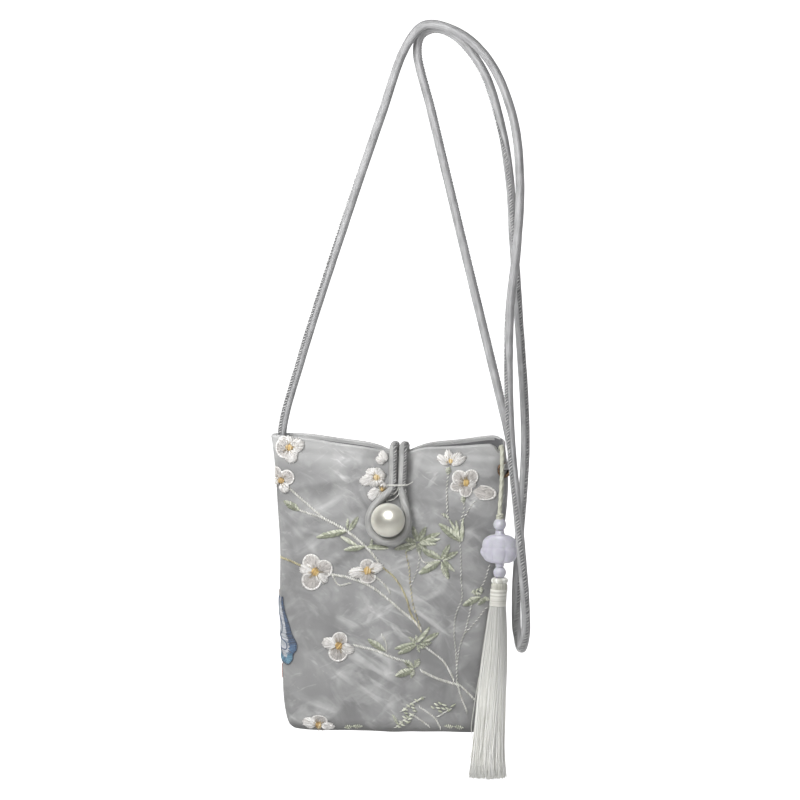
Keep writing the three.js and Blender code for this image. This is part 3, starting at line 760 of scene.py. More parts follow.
def pouchRows():
    # share of the height, inset, lift and spread of each ring: base, wall, hem, lining, base again
    height, wall, lift, count = pouch["height"], pouch["wall"], pouch["hemLift"], pouch["baseRows"]
    low, radius, middle = pouch["baseShare"], pouch["hemRadius"], pouch["hemMiddle"]
    hem = 1 - pouch["hemDrop"] / height
    inner = 1 - (pouch["turnIn"] + pouch["liningBelow"]) / height
    rows = [(0.0, 0.0, 0.0, k / count) for k in range(count)]
    rows += [(hem * k / pouch["wallRows"], 0.0, 0.0, 1.0) for k in range(pouch["wallRows"] + 1)]
    for turn in np.radians(np.linspace(pouch["hemFrom"], 180.0, pouch["hemRows"])):
        below = radius * (1 - math.sin(turn))
        rows.append((1 - below / height, middle - radius * math.cos(turn), lift, 1.0))
    for below in np.linspace(radius, pouch["turnIn"], pouch["turnInRows"] + 1)[1:]:
        rows.append((1 - below / height, middle + radius, lift, 1.0))
    for k in range(pouch["innerRows"] + 1):
        rows.append((inner + (low - inner) * k / pouch["innerRows"], wall, 0.0, 1.0))
    return rows + [(low, wall, 0.0, 1 - k / count) for k in range(1, count + 1)]


def wavedCloth(points, station, side):
    # soft waves, creases and wavering edges on the plain form
    x, z = points[..., 0], points[..., 2]
    square = pouch["typical"][2]
    bulge = (1 - np.abs(station) ** square) ** (1 / square)
    across, high, tall = pouch["calm"]
    calm = np.exp(-((x - pouch["loopX"]) / across) ** 2 - ((z - high) / tall) ** 2)
    wave = sum(depth * softNoise(points, size, k) for k, (size, depth) in enumerate(pouch["softness"]))
    crease = np.where(side < 0, -1.0, 0.0) * pouch["creaseGain"] * pressed(pouch["creases"], x, z)
    points[..., 1] += (side * wave - crease) * bulge * (1 - calm)
    depth, size, seed, reach = pouch["footWaver"]
    edge = softNoise(points, size, seed)
    points[..., 2] += depth * edge * np.exp(-np.abs(points[..., 2] - pouch["baseZ"]) / reach)
    depth, size, seed, power = pouch["sideWaver"]
    points[..., 0] += depth * softNoise(points, size, seed) * np.abs(station) ** power
    return points


def makePouch(finish, paintedShadeLining):
    half = pouch["columns"] // 2
    across = evenStations(half)
    station = np.concatenate([across, across[::-1][1:]])
    side = np.where(np.arange(len(station)) <= half, -1.0, 1.0)
    rows = pouchRows()
    points = np.empty((len(rows), len(station), 3))
    for r, (share, inset, lift, spread) in enumerate(rows):
        points[r] = clothPoint(np.full_like(station, share), station, side, inset)
        points[r, :, 1] *= spread
        points[r, :, 2] += lift
    nothingSelected()
    bpy.ops.mesh.primitive_grid_add(x_subdivisions=len(station) - 1, y_subdivisions=len(rows) - 1, size=1.0)
    piece = newestPiece("pouch")
    placeCorners(piece, wavedCloth(points, station, side))
    closeSeams(piece)
    finishPiece(piece, finish, "satin", "bag_shell")
    piece.data.materials.append(paintedShadeLining)
    rim = np.array(pouch["rim"])
    for face in piece.data.polygons:
        centre = face.center / mm
        rimZ = np.interp(centre.x, rim[:, 0], rim[:, 1 if centre.y < 0 else 2])
        sideways = pouch["sideShare"] * face.normal.x * (centre.x - pouch["middleX"])
        # faces deep inside the mouth take the dark lining, as painted shade
        paintedShadeZone = pouch["baseZ"] + pouch["hemDrop"] < centre.z < rimZ - pouch["hemShown"]
        face.material_index = int(face.normal.y * centre.y + sideways < 0 and paintedShadeZone)
    return piece


bag = makePouch(satinFinish(), paintedShadeLiningFinish())
print("pouch sewn,", len(bag.data.polygons), "faces")


# charts of the cloth: lowest and highest step across, then down, each step a pixel of the photograph
charts = {
    "front": (262, 520, 425, 742), "back": (262, 516, 425, 742), "left": (-4, 44, 560, 700),
    "backPlace": (-24.7, 0, 0), "backZero": 389, "leftPlace": (-91.5, 0, 0), "lean": 52,
    "away": 300, "rings": 26,
}


# where threads lie: photo pixels, or like steps seen from the back or the side, to places on the cloth
class ClothMap:
    def __init__(self, tree, side, chart, rays):
        lowU, highU, lowV, highV = charts[chart]
        self.low = np.array((lowU, lowV), float)
        u, v = np.meshgrid(np.arange(lowU, highU + 1.0), np.arange(lowV, highV + 1.0))
        origins, directions = rays(u, v)
        self.place = np.zeros((*u.shape, 3))
        self.normal = np.zeros((*u.shape, 3))
        found = np.zeros(u.shape, bool)
        for cell in np.ndindex(u.shape):
            hit, normal, _, _ = tree.ray_cast(Vector(origins[cell]), Vector(directions[cell]))
            if hit is not None and side * hit.y > -1.0:
                self.place[cell] = hit
                self.normal[cell] = normal
                found[cell] = True
        self.fill(found)

    def fill(self, found):
        # cells beside the cloth take the mean of their filled neighbours, ring by ring
        for _ in range(charts["rings"]):
            count = np.zeros(found.shape)
            place, normal = np.zeros_like(self.place), np.zeros_like(self.normal)
            for step, axis in ((1, 0), (-1, 0), (1, 1), (-1, 1)):
                near = np.roll(found, step, axis)
                count += near
                place += np.roll(self.place, step, axis) * near[..., None]
                normal += np.roll(self.normal, step, axis) * near[..., None]
            fresh = ~found & (count > 0)
            self.place[fresh] = place[fresh] / count[fresh][:, None]
            self.normal[fresh] = normal[fresh] / count[fresh][:, None]
            found = found | fresh

    def at(self, spots):
        limit = np.array(self.place.shape[1::-1]) - 1.001
        spot = np.clip(spots - self.low, 0, limit)
        i = spot.astype(int)
        f = (spot - i)[..., None]
        u, v = i[..., 0], i[..., 1]
        fu, fv = f[..., 0, :], f[..., 1, :]

        def mixed(grid):
            top = grid[v, u] * (1 - fu) + grid[v, u + 1] * fu
            bottom = grid[v + 1, u] * (1 - fu) + grid[v + 1, u + 1] * fu
            return top * (1 - fv) + bottom * fv

        return mixed(self.place), unit(mixed(self.normal))


def photoRays(u, v):
    right, up, back = photoAxes()
    origin = np.array(photo["target"]) + photo["distance"] * back
    middle = photo["pixels"] / 2
    spread = (u - middle)[..., None] * right + (middle - v)[..., None] * up
    return np.broadcast_to(origin, (*u.shape, 3)), unit(spread * photo["pixel"] - photo["distance"] * back)


def flatRays(middle, right, toward, zero=0.0):
    # parallel rays for a side that the photograph doesn't show
    toward = np.array(toward, float)

    def rays(u, v):
        place = np.array(middle) + ((u - zero)[..., None] * np.array(right)) * photo["pixel"]
        place[..., 2] = -(v - photo["zeroRow"]) * photo["pixel"]
        return place - charts["away"] * toward, np.broadcast_to(toward, place.shape)

    return rays


def sideAxes():
    # across the left side as the butterfly lies, and into the cloth
    lean = math.radians(charts["lean"])
    return np.array((math.cos(lean), -math.sin(lean), 0.0)), np.array((math.sin(lean), math.cos(lean), 0.0))


def mapCloth(piece):
    corners = np.empty(len(piece.data.vertices) * 3, np.float32)
    piece.data.vertices.foreach_get("co", corners)
    faces = [tuple(face.vertices) for face in piece.data.polygons]
    tree = BVHTree.FromPolygons([tuple(p) for p in (corners.reshape(-1, 3) / mm).tolist()], faces)
    right, toward = sideAxes()
    turned = np.array((1, -1, 1))
    backRays = flatRays(charts["backPlace"], (-1, 0, 0), (0, -1, 0), charts["backZero"])
    return {
        "front": ClothMap(tree, -1, "front", photoRays),
        "back": ClothMap(tree, 1, "back", backRays),
        "left": ClothMap(tree, 0, "left", flatRays(charts["leftPlace"], right, toward)),
        "leftBack": ClothMap(tree, 0, "left", flatRays(charts["leftPlace"], right * turned, toward * turned)),
    }


maps = mapCloth(bag)
print("cloth mapped")


# the button loop, over the rim and round the pearl
loop = {
    "diameter": 5.0, "sides": 18, "steps": 14, "standOff": 1.4, "shoulder": 0.5, "gap": 0.3, "lip": 0.6,
    "backZ": -266.0, "halfDepth": 2.5, "grooveDepth": 0.16, "grooveWidth": 0.55, "stitchStep": 1.75,
    "stitchRadius": 0.3,
    "front": [
        (-21.6, -264), (-21.5, -272), (-21.5, -279), (-26, -283.2), (-31.8, -289), (-35.3, -297),
        (-34.3, -304.4), (-30, -309.2), (-23.6, -311.2), (-17, -309.7), (-12.6, -304.8), (-11.5, -297),
        (-13.4, -288.5), (-15.6, -279.5), (-15.7, -272), (-15.6, -264),
    ],
    "seam": [(0, 138), (0.25, 138), (0.34, 0), (0.66, 0), (0.75, -138), (1, -138)],
}


def loopLine():
    radius = loop["diameter"] / 2

    def legOver(x):
        top = float(steadyTable(pouch["rim"], np.array(x)).max()) + loop["lip"]
        beside = loop["halfDepth"] + radius + 3 * loop["gap"]
        behind = clothDepth(x, loop["backZ"], 1.0)
        bend = top + radius / 2 + loop["gap"]
        return [
            (x, behind + radius + 2 * loop["gap"], loop["backZ"]), (x, beside, top - radius),
            (x, beside - loop["shoulder"], bend), (x, 0.0, top + radius + 2 * loop["gap"]),
            (x, loop["shoulder"] - beside, bend), (x, -beside, top - radius),
        ]

    front = [(x, clothDepth(x, z) - radius - loop["standOff"], z) for x, z in loop["front"]]
    return smoothLine(legOver(front[0][0]) + front + legOver(front[-1][0])[::-1], loop["steps"])


def makeLoop(finish, threadLook):
    line = loopLine()
    radius = np.full(len(line), loop["diameter"] / 2)
    sewnCord("button_loop", "loop_stitches", line, radius, loop, finish, threadLook, 12)


# thread tie round the neck of the loop, with its loose ends
tie = {
    "z": -276.8, "turns": 2, "turnSteps": 48, "rise": 0.9, "radius": 0.27, "clear": 0.5, "left": -21.5,
    "right": -15.7, "colours": (tint(200, 200, 194), tint(214, 214, 208)),
    "endOver": 0.2, "endFall": 0.5, "endShare": 0.85,
    "ends": [
        ((-12.6, -276.6), (-10.6, -275.6), (-8.6, -274.4)), ((-17.2, -277.6), (-18.4, -280),
            (-20.6, -282.6)),
        ((-16.6, -277.6), (-17.0, -281.2), (-19.6, -284.6)),
        ((-17.6, -282.6), (-20.4, -285.2), (-24.2, -286.4)),
    ],
}


def makeTie(finish):
    rng = np.random.default_rng(13)
    depth = clothDepth(pouch["loopX"], tie["z"]) - loop["diameter"] / 2 - loop["standOff"]
    half = loop["diameter"] / 2 + tie["clear"]
    turn = np.linspace(0, 2 * math.pi * tie["turns"], tie["turnSteps"] * tie["turns"] + 1)
    middle = np.where(np.cos(turn) > 0, tie["right"], tie["left"])
    rise = tie["z"] + tie["rise"] * (turn / turn[-1] - 0.5)
    line = np.stack([middle + half * np.cos(turn), depth + half * np.sin(turn), rise], axis=-1)
    windings = Stitches()
    colour = shades(rng, 1, *tie["colours"])
    windings.add(line[None], roundAbout(turn)[None], tie["radius"], colour, sides=6, flat=1.0)
    for end in tie["ends"]:
        spots = [(x, depth - half - tie["endOver"] + tie["endFall"] * k, z) for k, (x, z) in enumerate(end)]
        path = smoothLine(spots, 6)[None]
        windings.add(path, facingFront(path), tie["radius"] * tie["endShare"], colour, sides=6, flat=1.0)
    finishPiece(windings.piece("loop_tie"), finish, "thread", "loop_tie")


# the pearl button on its shank
pearl = {
    "x": -22.9, "z": -297.2, "radius": 10.4, "halfDepth": 8.8, "segments": 72, "rings": 48, "shank": 3.0,
    "shankEnd": 9.8, "seat": 0.6,
}


def makePearl(finish):
    y = clothDepth(pearl["x"], pearl["z"]) - pearl["seat"] - pearl["shankEnd"]
    nothingSelected()
    bpy.ops.mesh.primitive_uv_sphere_add(segments=pearl["segments"], ring_count=pearl["rings"],
                                         radius=pearl["radius"] * mm)
    piece = newestPiece("pearl_button")
    bpy.ops.object.mode_set(mode="EDIT")
    bpy.ops.mesh.select_all(action="SELECT")
    bpy.ops.transform.resize(value=(1, 1, pearl["halfDepth"] / pearl["radius"]))
    bpy.ops.mesh.select_all(action="DESELECT")
    bpy.ops.object.mode_set(mode="OBJECT")
    for face in piece.data.polygons:
        centre = face.center / mm
        face.select = math.hypot(centre.x, centre.y) < pearl["shank"] and centre.z < 0
    bpy.ops.object.mode_set(mode="EDIT")
    bpy.ops.mesh.extrude_region_move(TRANSFORM_OT_translate={"value": (0, 0, 0)})
    bpy.ops.transform.resize(value=(1, 1, 0))
    bpy.ops.object.mode_set(mode="OBJECT")
    for vertex in piece.data.vertices:
        if vertex.select:
            vertex.co.z = -pearl["shankEnd"] * mm
    piece.data.transform(Matrix.Rotation(math.radians(90), 4, "X"))
    piece.data.transform(Matrix.Translation(Vector((pearl["x"], y, pearl["z"])) * mm))
    finishPiece(piece, finish, "pearl", "pearl_button")


# the eyelet in the right side wall, placed by share of the height and station across
eyelet = {
    "share": 0.934, "station": 0.98, "step": 1e-3, "bore": 2.85, "flange": 4.7, "height": 0.8, "gap": 0.3,
    "barrel": 3.35, "length": 2.6, "sides": 64, "arcSteps": 11,
}


def makeEyelet(finish):
    def wallAt(share, station):
        return clothPoint(np.array(share), np.array(station), np.array(-1.0))

    share, station, step = eyelet["share"], eyelet["station"], eyelet["step"]
    seat = wallAt(share, station)
    normal = unit(np.cross(wallAt(share, station + step) - seat, wallAt(share + step, station) - seat))
    middle = (eyelet["bore"] + eyelet["flange"]) / 2
    half, gap = eyelet["flange"] - middle, eyelet["gap"]
    arc = [(middle + half * math.cos(a), gap + eyelet["height"] * math.sin(a))
           for a in np.linspace(0, math.pi, eyelet["arcSteps"])]
    profile = [(eyelet["barrel"], -eyelet["length"]), (eyelet["barrel"], gap)] + arc
    piece = spunPiece("eyelet_right", profile + [(eyelet["bore"], -eyelet["length"])], eyelet["sides"])
    turn = Vector((0, 0, 1)).rotation_difference(Vector(normal)).to_matrix().to_4x4()
    piece.data.transform(Matrix.Translation(Vector(seat) * mm) @ turn)
    finishPiece(piece, finish, "brass", "eyelet_right")


# the loop's cloth is the strap's rouleau a little darker, as painted shade
makeLoop(cordFinish("loop_rouleau_painted_shade", tint(138, 138, 137), tint(184, 184, 182), 420.0, 0.55), sewingThread)
makeTie(sewingThread)
makePearl(pearlFinish())
makeEyelet(brassFinish())
print("loop, tie, pearl and eyelet made")


# knot and beads on the tassel cord
def makeCordKnot(threadLook):
    rng = np.random.default_rng(14)
    coil = Stitches()
    middle = np.array((drop["x"], drop["y"], drop["knotZ"]))
    for k in range(drop["knotTurns"]):
        turn = np.linspace(0, 2 * math.pi, 41) + k
        outward = roundAbout(turn)
        line = middle + drop["knotRadius"] * outward
        line[:, 2] = drop["knotZ"] + drop["knotRise"] * (k - 1) + drop["knotSway"] * np.sin(turn + k)
        colour = shades(rng, 1, *drop["knotColours"])
        coil.add(line[None], outward[None], drop["knotThread"], colour, sides=7, flat=1.0)
    finishPiece(coil.piece("cord_knot"), threadLook, "celadon_cord")


def makeSmallBead(name, z, finish):
    start = math.asin(drop["bore"] / drop["beadRadius"])
    sweep = np.linspace(start, math.pi - start, drop["beadRows"])
    profile = [(drop["beadRadius"] * math.sin(a), drop["beadRadius"] * math.cos(a)) for a in sweep]
    piece = spunPiece(name, profile, drop["beadSides"])
    piece.data.transform(Matrix.Translation(Vector((drop["x"], drop["y"], z)) * mm))
    finishPiece(piece, finish, "lavender_bead", name)


# carved bead, from a ring: up, half width, half depth, depth of its lobes
flowerBead = {
    "lobes": 8, "sides": 128, "rowsBetween": 4, "lobeShape": 0.7, "lobeGain": 1.7,
    "rows": [
        (10.6, 1.7, 1.7, 0), (10.6, 2.5, 2.5, 0), (8.2, 3.2, 3.2, 0), (7.4, 6.4, 4.4, 0.01),
        (4.9, 9.7, 5.0, 0.02), (1.6, 10.8, 5.2, 0.03), (0.3, 10.7, 5.1, 0.03), (-1.0, 11.5, 5.3, 0.04),
        (-3.3, 11.8, 5.3, 0.05), (-5.3, 10.6, 5.0, 0.05), (-6.2, 9.9, 4.8, 0.05), (-7.7, 8.9, 4.5, 0.06),
        (-9.1, 6.2, 3.8, 0.06), (-9.4, 2.9, 2.9, 0), (-11.4, 2.5, 2.5, 0), (-11.4, 1.7, 1.7, 0),
    ],
}


def makeFlowerBead(finish):
    outline = smoothLine(flowerBead["rows"], flowerBead["rowsBetween"])
    up, wide, deep, lobed = outline.T
    turn = ringAngles(flowerBead["sides"])[:, None]
    lobe = np.abs(np.cos(flowerBead["lobes"] / 2 * turn)) ** flowerBead["lobeShape"]
    swell = 1 - flowerBead["lobeGain"] * lobed * (1 - lobe)
    x = drop["x"] + wide * swell * np.cos(turn)
    y = drop["y"] + deep * swell * np.sin(turn)
    z = np.broadcast_to(drop["flowerZ"] + up, x.shape)
    nothingSelected()
    bpy.ops.mesh.primitive_torus_add(major_segments=flowerBead["sides"], minor_segments=len(outline),
                                     generate_uvs=False)
    piece = newestPiece("bead_flower")
    placeCorners(piece, np.stack([x, y, z], axis=-1))
    closeSeams(piece)
    finishPiece(piece, finish, "lavender_bead", "bead_flower")


# tassel: z, x, y, half width, half depth
tassel = {
    "rows": [
        (-453, 38.0, -17.5, 11.4, 6.4), (-442, 38.3, -17.8, 10.3, 6.3), (-424, 39.2, -18, 9.5, 6.2),
        (-402, 40.5, -17.6, 8.9, 6.0), (-382, 41.9, -16.8, 8.0, 5.8), (-364, 43.0, -15.9, 6.6, 5.5),
        (-351, 43.6, -15.3, 5.3, 5.0), (-349.4, 43.7, -15.2, 4.6, 4.6), (-338.4, 44.4, -14.7, 4.6, 4.6),
        (-337.2, 44.6, -14.6, 4.8, 4.8), (-335.6, 44.8, -14.5, 3.4, 3.4),
    ],
    "threads": 900, "steps": 14, "radius": 0.29, "locks": 9, "top": -336.4, "bottom": -452.4, "uneven": 1.9,
    "goldenTurn": 0.381966, "reach": (0.18, 1.0), "gather": (0.1, 0.45), "inset": 0.35,
    # threads part below here, over this length, then their swing in turn and in reach
    "looseFrom": -352, "looseOver": 100, "swing": (0.16, 5), "sway": (0.05, 7),
    # pale below, darker in the neck: from, over and share of the dark end
    "fade": (-346, 62, 0.58, 0.42), "skirtColours": (tint(226, 226, 218), tint(255, 255, 253)),
    "coreTop": -337.0, "coreShort": 14.0, "coreShare": 0.62, "coreRows": 26, "coreSides": 28,
    "coreColour": tint(232, 233, 224),
    "headThreads": 62, "headSteps": 10, "headRadius": 0.3, "headShift": 0.2,
    "head": [(-340.4, 4.6), (-338.4, 4.7), (-336.6, 4.65), (-335.4, 4.1), (-334.6, 3.2)],
    "headColours": (tint(164, 163, 150), tint(214, 213, 203)),
    "stray": [
        (33, -20.5, -392), (29.8, -21, -412), (28.4, -21.2, -424), (29.6, -21.6, -433), (27.8, -21.4, -442),
    ],
    "strayRadius": 0.2, "strayColours": (tint(220, 220, 212), tint(232, 232, 226)),
    "crownZ": -333.8, "crownRadius": 3.3, "crownTube": 1.85, "crownStrands": 27, "crownThread": 0.62,
    "crownLean": 0.22, "crownOver": -118, "crownColours": (tint(196, 195, 184), tint(250, 250, 246)),
    "bandTop": -338.9, "bandBottom": -348.9, "bandTurns": 18, "bandSteps": 40, "bandThread": 0.33,
    "bandRadius": 4.85, "bandColours": (tint(192, 191, 181), tint(246, 245, 239)),
}


def makeTassel(finish):
    rng = np.random.default_rng(21)
    count, locks, top = tassel["threads"], tassel["locks"], tassel["top"]
    spin = 2 * math.pi * np.arange(count) * tassel["goldenTurn"]
    reach = np.sqrt(rng.uniform(*tassel["reach"], count))
    lock = np.round(spin / (2 * math.pi) * locks) * 2 * math.pi / locks
    gather = rng.uniform(*tassel["gather"], count)
    low = tassel["bottom"] + tassel["uneven"] * rng.uniform(-1.2, 1.0, count) - (1 - reach)
    t = np.linspace(0, 1, tassel["steps"])
    z = top + (low[:, None] - top) * t[None]
    x, y, wide, deep = np.moveaxis(steadyTable(tassel["rows"], z), -1, 0)
    loose = np.clip((tassel["looseFrom"] - z) / tassel["looseOver"], 0, 1)

    def waved(depth, waves):
        return depth * loose * np.sin(rng.uniform(0, 6.28, count)[:, None] + waves * t[None])

    angle = spin[:, None] + (lock - spin)[:, None] * gather[:, None] * loose
    angle = angle + waved(*tassel["swing"])
    spread = reach[:, None] * (1 + waved(*tassel["sway"]))
    wide, deep = wide - tassel["inset"], deep - tassel["inset"]
    paths = np.stack([x + wide * spread * np.cos(angle), y + deep * spread * np.sin(angle), z], axis=-1)
    skirt = Stitches()
    colours = shades(rng, count, *tassel["skirtColours"])
    start, over, dark, gain = tassel["fade"]
    fade = np.clip((start - z) / over, 0, 1)[..., None]
    # the threads are darker towards the neck and pale below
    threadTones = colours[:, None] * (dark + gain * fade)
    skirt.add(paths, roundAbout(angle), tassel["radius"], threadTones, sides=4, flat=1.0)

    heights = np.linspace(tassel["head"][0][0], tassel["head"][-1][0], tassel["headSteps"])
    bulge = steadyTable(tassel["head"], heights)[:, 0]
    turn = ringAngles(tassel["headThreads"])
    outward = np.repeat(roundAbout(turn)[:, None], len(heights), axis=1)
    paths = np.array((drop["x"] - tassel["headShift"], drop["y"], 0.0)) + outward * bulge[:, None]
    paths[..., 2] = heights
    skirt.add(paths, outward, tassel["headRadius"], shades(rng, len(turn), *tassel["headColours"]), flat=1.0)
    stray = smoothLine(tassel["stray"], 8)[None]
    colour = shades(rng, 1, *tassel["strayColours"])
    skirt.add(stray, facingFront(stray), tassel["strayRadius"], colour, sides=4)
    finishPiece(skirt.piece("tassel_skirt"), finish, "silk", "tassel")


def makeTasselCore(finish):
    count, sides, share = tassel["coreRows"], tassel["coreSides"], tassel["coreShare"]
    heights = np.linspace(tassel["bottom"] + tassel["coreShort"], tassel["coreTop"], count)[:, None]
    x, y, wide, deep = np.moveaxis(steadyTable(tassel["rows"], heights), -1, 0)
    turn = ringAngles(sides)
    x = x + share * wide * np.cos(turn)
    y = y + share * deep * np.sin(turn)
    points = np.stack([x, y, np.broadcast_to(heights, x.shape)], axis=-1)
    colours = np.broadcast_to(np.array(tassel["coreColour"]), (count * sides, 3))
    finishPiece(meshPiece("tassel_core", points, tubeFaces(count, sides), colours), finish, "silk")


def makeTasselCrown(finish):
    rng = np.random.default_rng(22)
    rope = Stitches()
    run = np.linspace(-1, 1, 11)
    start = ringAngles(tassel["crownStrands"])
    turn = start[:, None] + tassel["crownLean"] * run
    over = np.broadcast_to(np.radians(tassel["crownOver"] * run), turn.shape)
    swing = tassel["crownTube"] - tassel["crownThread"]
    reach = tassel["crownRadius"] + swing * np.cos(over)
    place = np.array((drop["x"], drop["y"], tassel["crownZ"]))
    lines = place + np.stack([reach * np.cos(turn), reach * np.sin(turn), swing * np.sin(over)], axis=-1)
    outward = np.stack([np.cos(turn) * np.cos(over), np.sin(turn) * np.cos(over), np.sin(over)], axis=-1)
    colours = shades(rng, len(start), *tassel["crownColours"])
    rope.add(lines, outward, tassel["crownThread"], colours, sides=8, flat=1.0)
    finishPiece(rope.piece("tassel_crown"), finish, "silk", "tassel_crown")


def makeTasselBand(finish):
    rng = np.random.default_rng(23)
    winding = Stitches()
    turns, steps, radius = tassel["bandTurns"], tassel["bandSteps"], tassel["bandRadius"]
    turn = np.linspace(0, 2 * math.pi * turns, steps * turns + 1)
    z = tassel["bandTop"] + (tassel["bandBottom"] - tassel["bandTop"]) * turn / turn[-1]
    x, y = np.moveaxis(steadyTable(tassel["rows"], z), -1, 0)[:2]
    line = np.stack([x + radius * np.cos(turn), y + radius * np.sin(turn), z], axis=-1)
    colours = np.repeat(shades(rng, turns, *tassel["bandColours"]), steps, axis=0)
    colours = np.concatenate([colours, colours[-1:]])
    winding.add(line[None], roundAbout(turn)[None], tassel["bandThread"], colours[None], sides=7, flat=1.0)
    finishPiece(winding.piece("tassel_band"), finish, "silk", "tassel_band")


lavender = beadFinish()
silk = threadFinish("tassel_silk", 0.38, 0.35)
makeCordKnot(sewingThread)
makeSmallBead("bead_upper", drop["upperZ"], lavender)
makeSmallBead("bead_lower", drop["lowerZ"], lavender)
makeFlowerBead(lavender)
makeTassel(silk)
makeTasselCore(silk)
makeTasselCrown(silk)
makeTasselBand(silk)
print("beads and tassel hung")


# the embroidery, charted in photo pixels; threads lie on the cloth map
blossom = {
    "pitch": 0.47, "root": 2.2, "rootSpread": 0.9, "spread": 106.0, "base": 0.12, "rise": 1.15,
    "sheerRise": 0.38, "fray": 0.028, "split": (0.40, 0.68), "overlap": 0.09, "loose": 0.42,
    "thick": 0.55, "thinnest": 0.14, "thickest": 0.36,
    "white": (tint(200, 196, 192), tint(250, 249, 247)), "sheer": (tint(172, 168, 165), tint(214, 209, 205)),
    "edgeStep": 0.5, "edgeRadius": 0.27, "edgeReach": 0.11, "edgeBase": 0.3, "edgeRise": 0.4,
    "goldThreads": 12, "goldRadius": 0.25, "gold": (tint(136, 96, 36), tint(236, 200, 116)),
    "creamShare": 0.2, "cream": tint(238, 224, 182), "turnFromPetal": 70, "aloneTurn": 80,
    "stamens": 13, "stamenRadius": 0.15, "stamenLift": 1.42,
    "stamen": (tint(104, 84, 54), tint(176, 156, 112)),
    # centre, petals as angle, length, width and sheer or not, then half the width of the gold centre
    "flowers": [
        ((289.7, 447.2), [(190, 13, 18, 1), (135, 13, 10, 1), (-80, 16, 14, 0), (85, 12, 9, 0),
            (14, 15, 14, 0)], 4.2),
        ((281.6, 480.7), [(30, 13, 14, 1), (115, 15, 8, 1), (-65, 13, 10, 0), (180, 6, 9, 0)], 3.6),
        ((376.4, 477.6), [(20, 10, 10, 0), (85, 10, 13, 0), (140, 12, 12, 0), (-42, 9, 8, 0),
            (240, 10, 12, 0), (196, 17, 11, 0)], 3.6),
        ((386.5, 463.7), [(150, 12, 8, 0), (115, 14, 9, 0)], 0),
        ((382.3, 489.6), [(60, 7, 9, 0), (212, 16, 13, 0)], 2.4),
        ((450.6, 466.2), [(100, 17, 9, 0), (55, 17, 9, 0), (140, 17, 8, 0), (32, 18, 7, 0)], 0),
        ((451.4, 460.6), [], 3.4),
        ((471.5, 491.0), [(-8, 24, 13, 1)], 0),
        ((466.4, 482.5), [(-95, 14, 12, 1), (-15, 10, 8, 0), (145, 15, 14, 1), (50, 14, 13, 1),
            (200, 16, 11, 1)], 3.8),
        ((315.6, 572.0), [(115, 18, 16, 1), (20, 17, 16, 1), (-115, 18, 18, 1), (-40, 15, 11, 0),
            (165, 16, 12, 0)], 4.4),
        ((367.8, 570.7), [(95, 11, 13, 1), (-90, 12, 15, 1), (20, 16, 11, 0), (190, 19, 11, 0)], 4.2),
        ((338.8, 645.7), [(80, 13, 14, 1), (-95, 15, 17, 1), (165, 17, 12, 0), (-20, 16, 11, 0)], 4.2),
        ((318.8, 724.6), [(80, 9, 15, 1), (165, 17, 10, 0), (-5, 16, 7, 0)], 3.4),
    ],
}


def petalAxes(angle):
    turn = math.radians(angle)
    return np.array((math.cos(turn), -math.sin(turn))), np.array((math.sin(turn), math.cos(turn)))


def addPetal(pile, cloth, centre, petal, rng):
    angle, length, width, sheer = petal
    axis, side = petalAxes(angle)
    spread = math.radians(blossom["spread"])
    rim = spread * (length + width) / 2 * photo["pixel"]
    count = max(9, int(rim / blossom["pitch"]))
    q = np.linspace(-1, 1, count)
    reach = (1 + blossom["fray"] * rng.normal(size=count))[:, None]
    along = length * (0.5 + 0.5 * np.cos(spread * q))
    tip = reach * np.stack([along, width / 2 * np.sin(spread * q)], axis=-1)
    root = np.stack([np.full(count, blossom["root"]), blossom["rootSpread"] * q], axis=-1)
    rise = blossom["sheerRise" if sheer else "rise"]
    split = rng.uniform(*blossom["split"], count)
    # two rows of long and short stitches, the outer over the inner
    inner, outer = split + blossom["overlap"], split - blossom["overlap"]
    for start, end in ((np.zeros(count), inner), (outer, np.ones(count))):
        t = start[:, None] + (end - start)[:, None] * np.linspace(0, 1, 4)
        flat = root[:, None] + (tip - root)[:, None] * t[..., None]
        spots = np.array(centre) + flat[..., :1] * axis + flat[..., 1:] * side
        dome = np.sin(math.pi * np.clip(0.10 + 0.86 * t, 0, 1)) * (1 - 0.4 * q[:, None] ** 2)
        lift = blossom["base"] + rise * dome + blossom["loose"] * rng.random((count, 1))
        radii = blossom["thick"] * rim / count * (0.3 + 0.7 * t)
        radii = np.clip(radii, blossom["thinnest"], blossom["thickest"])
        pile.lay(cloth, spots, lift, radii, shades(rng, count, *blossom["sheer" if sheer else "white"]))
    if sheer:
        edge = np.arange(-spread, spread, 2 * spread * blossom["edgeStep"] / rim / 2)
        out = np.linspace(-1, 1, 4)
        scale = 1 + blossom["edgeReach"] * out[None, :, None]
        oval = np.stack([np.cos(edge) * length / 2, np.sin(edge) * width / 2], axis=-1)[:, None] * scale
        spots = np.array(centre) + (length / 2 + oval[..., :1]) * axis + oval[..., 1:] * side
        lift = blossom["edgeBase"] + blossom["edgeRise"] * (1 - out ** 2)
        pile.lay(cloth, spots, lift, blossom["edgeRadius"], shades(rng, len(edge), *blossom["white"]))


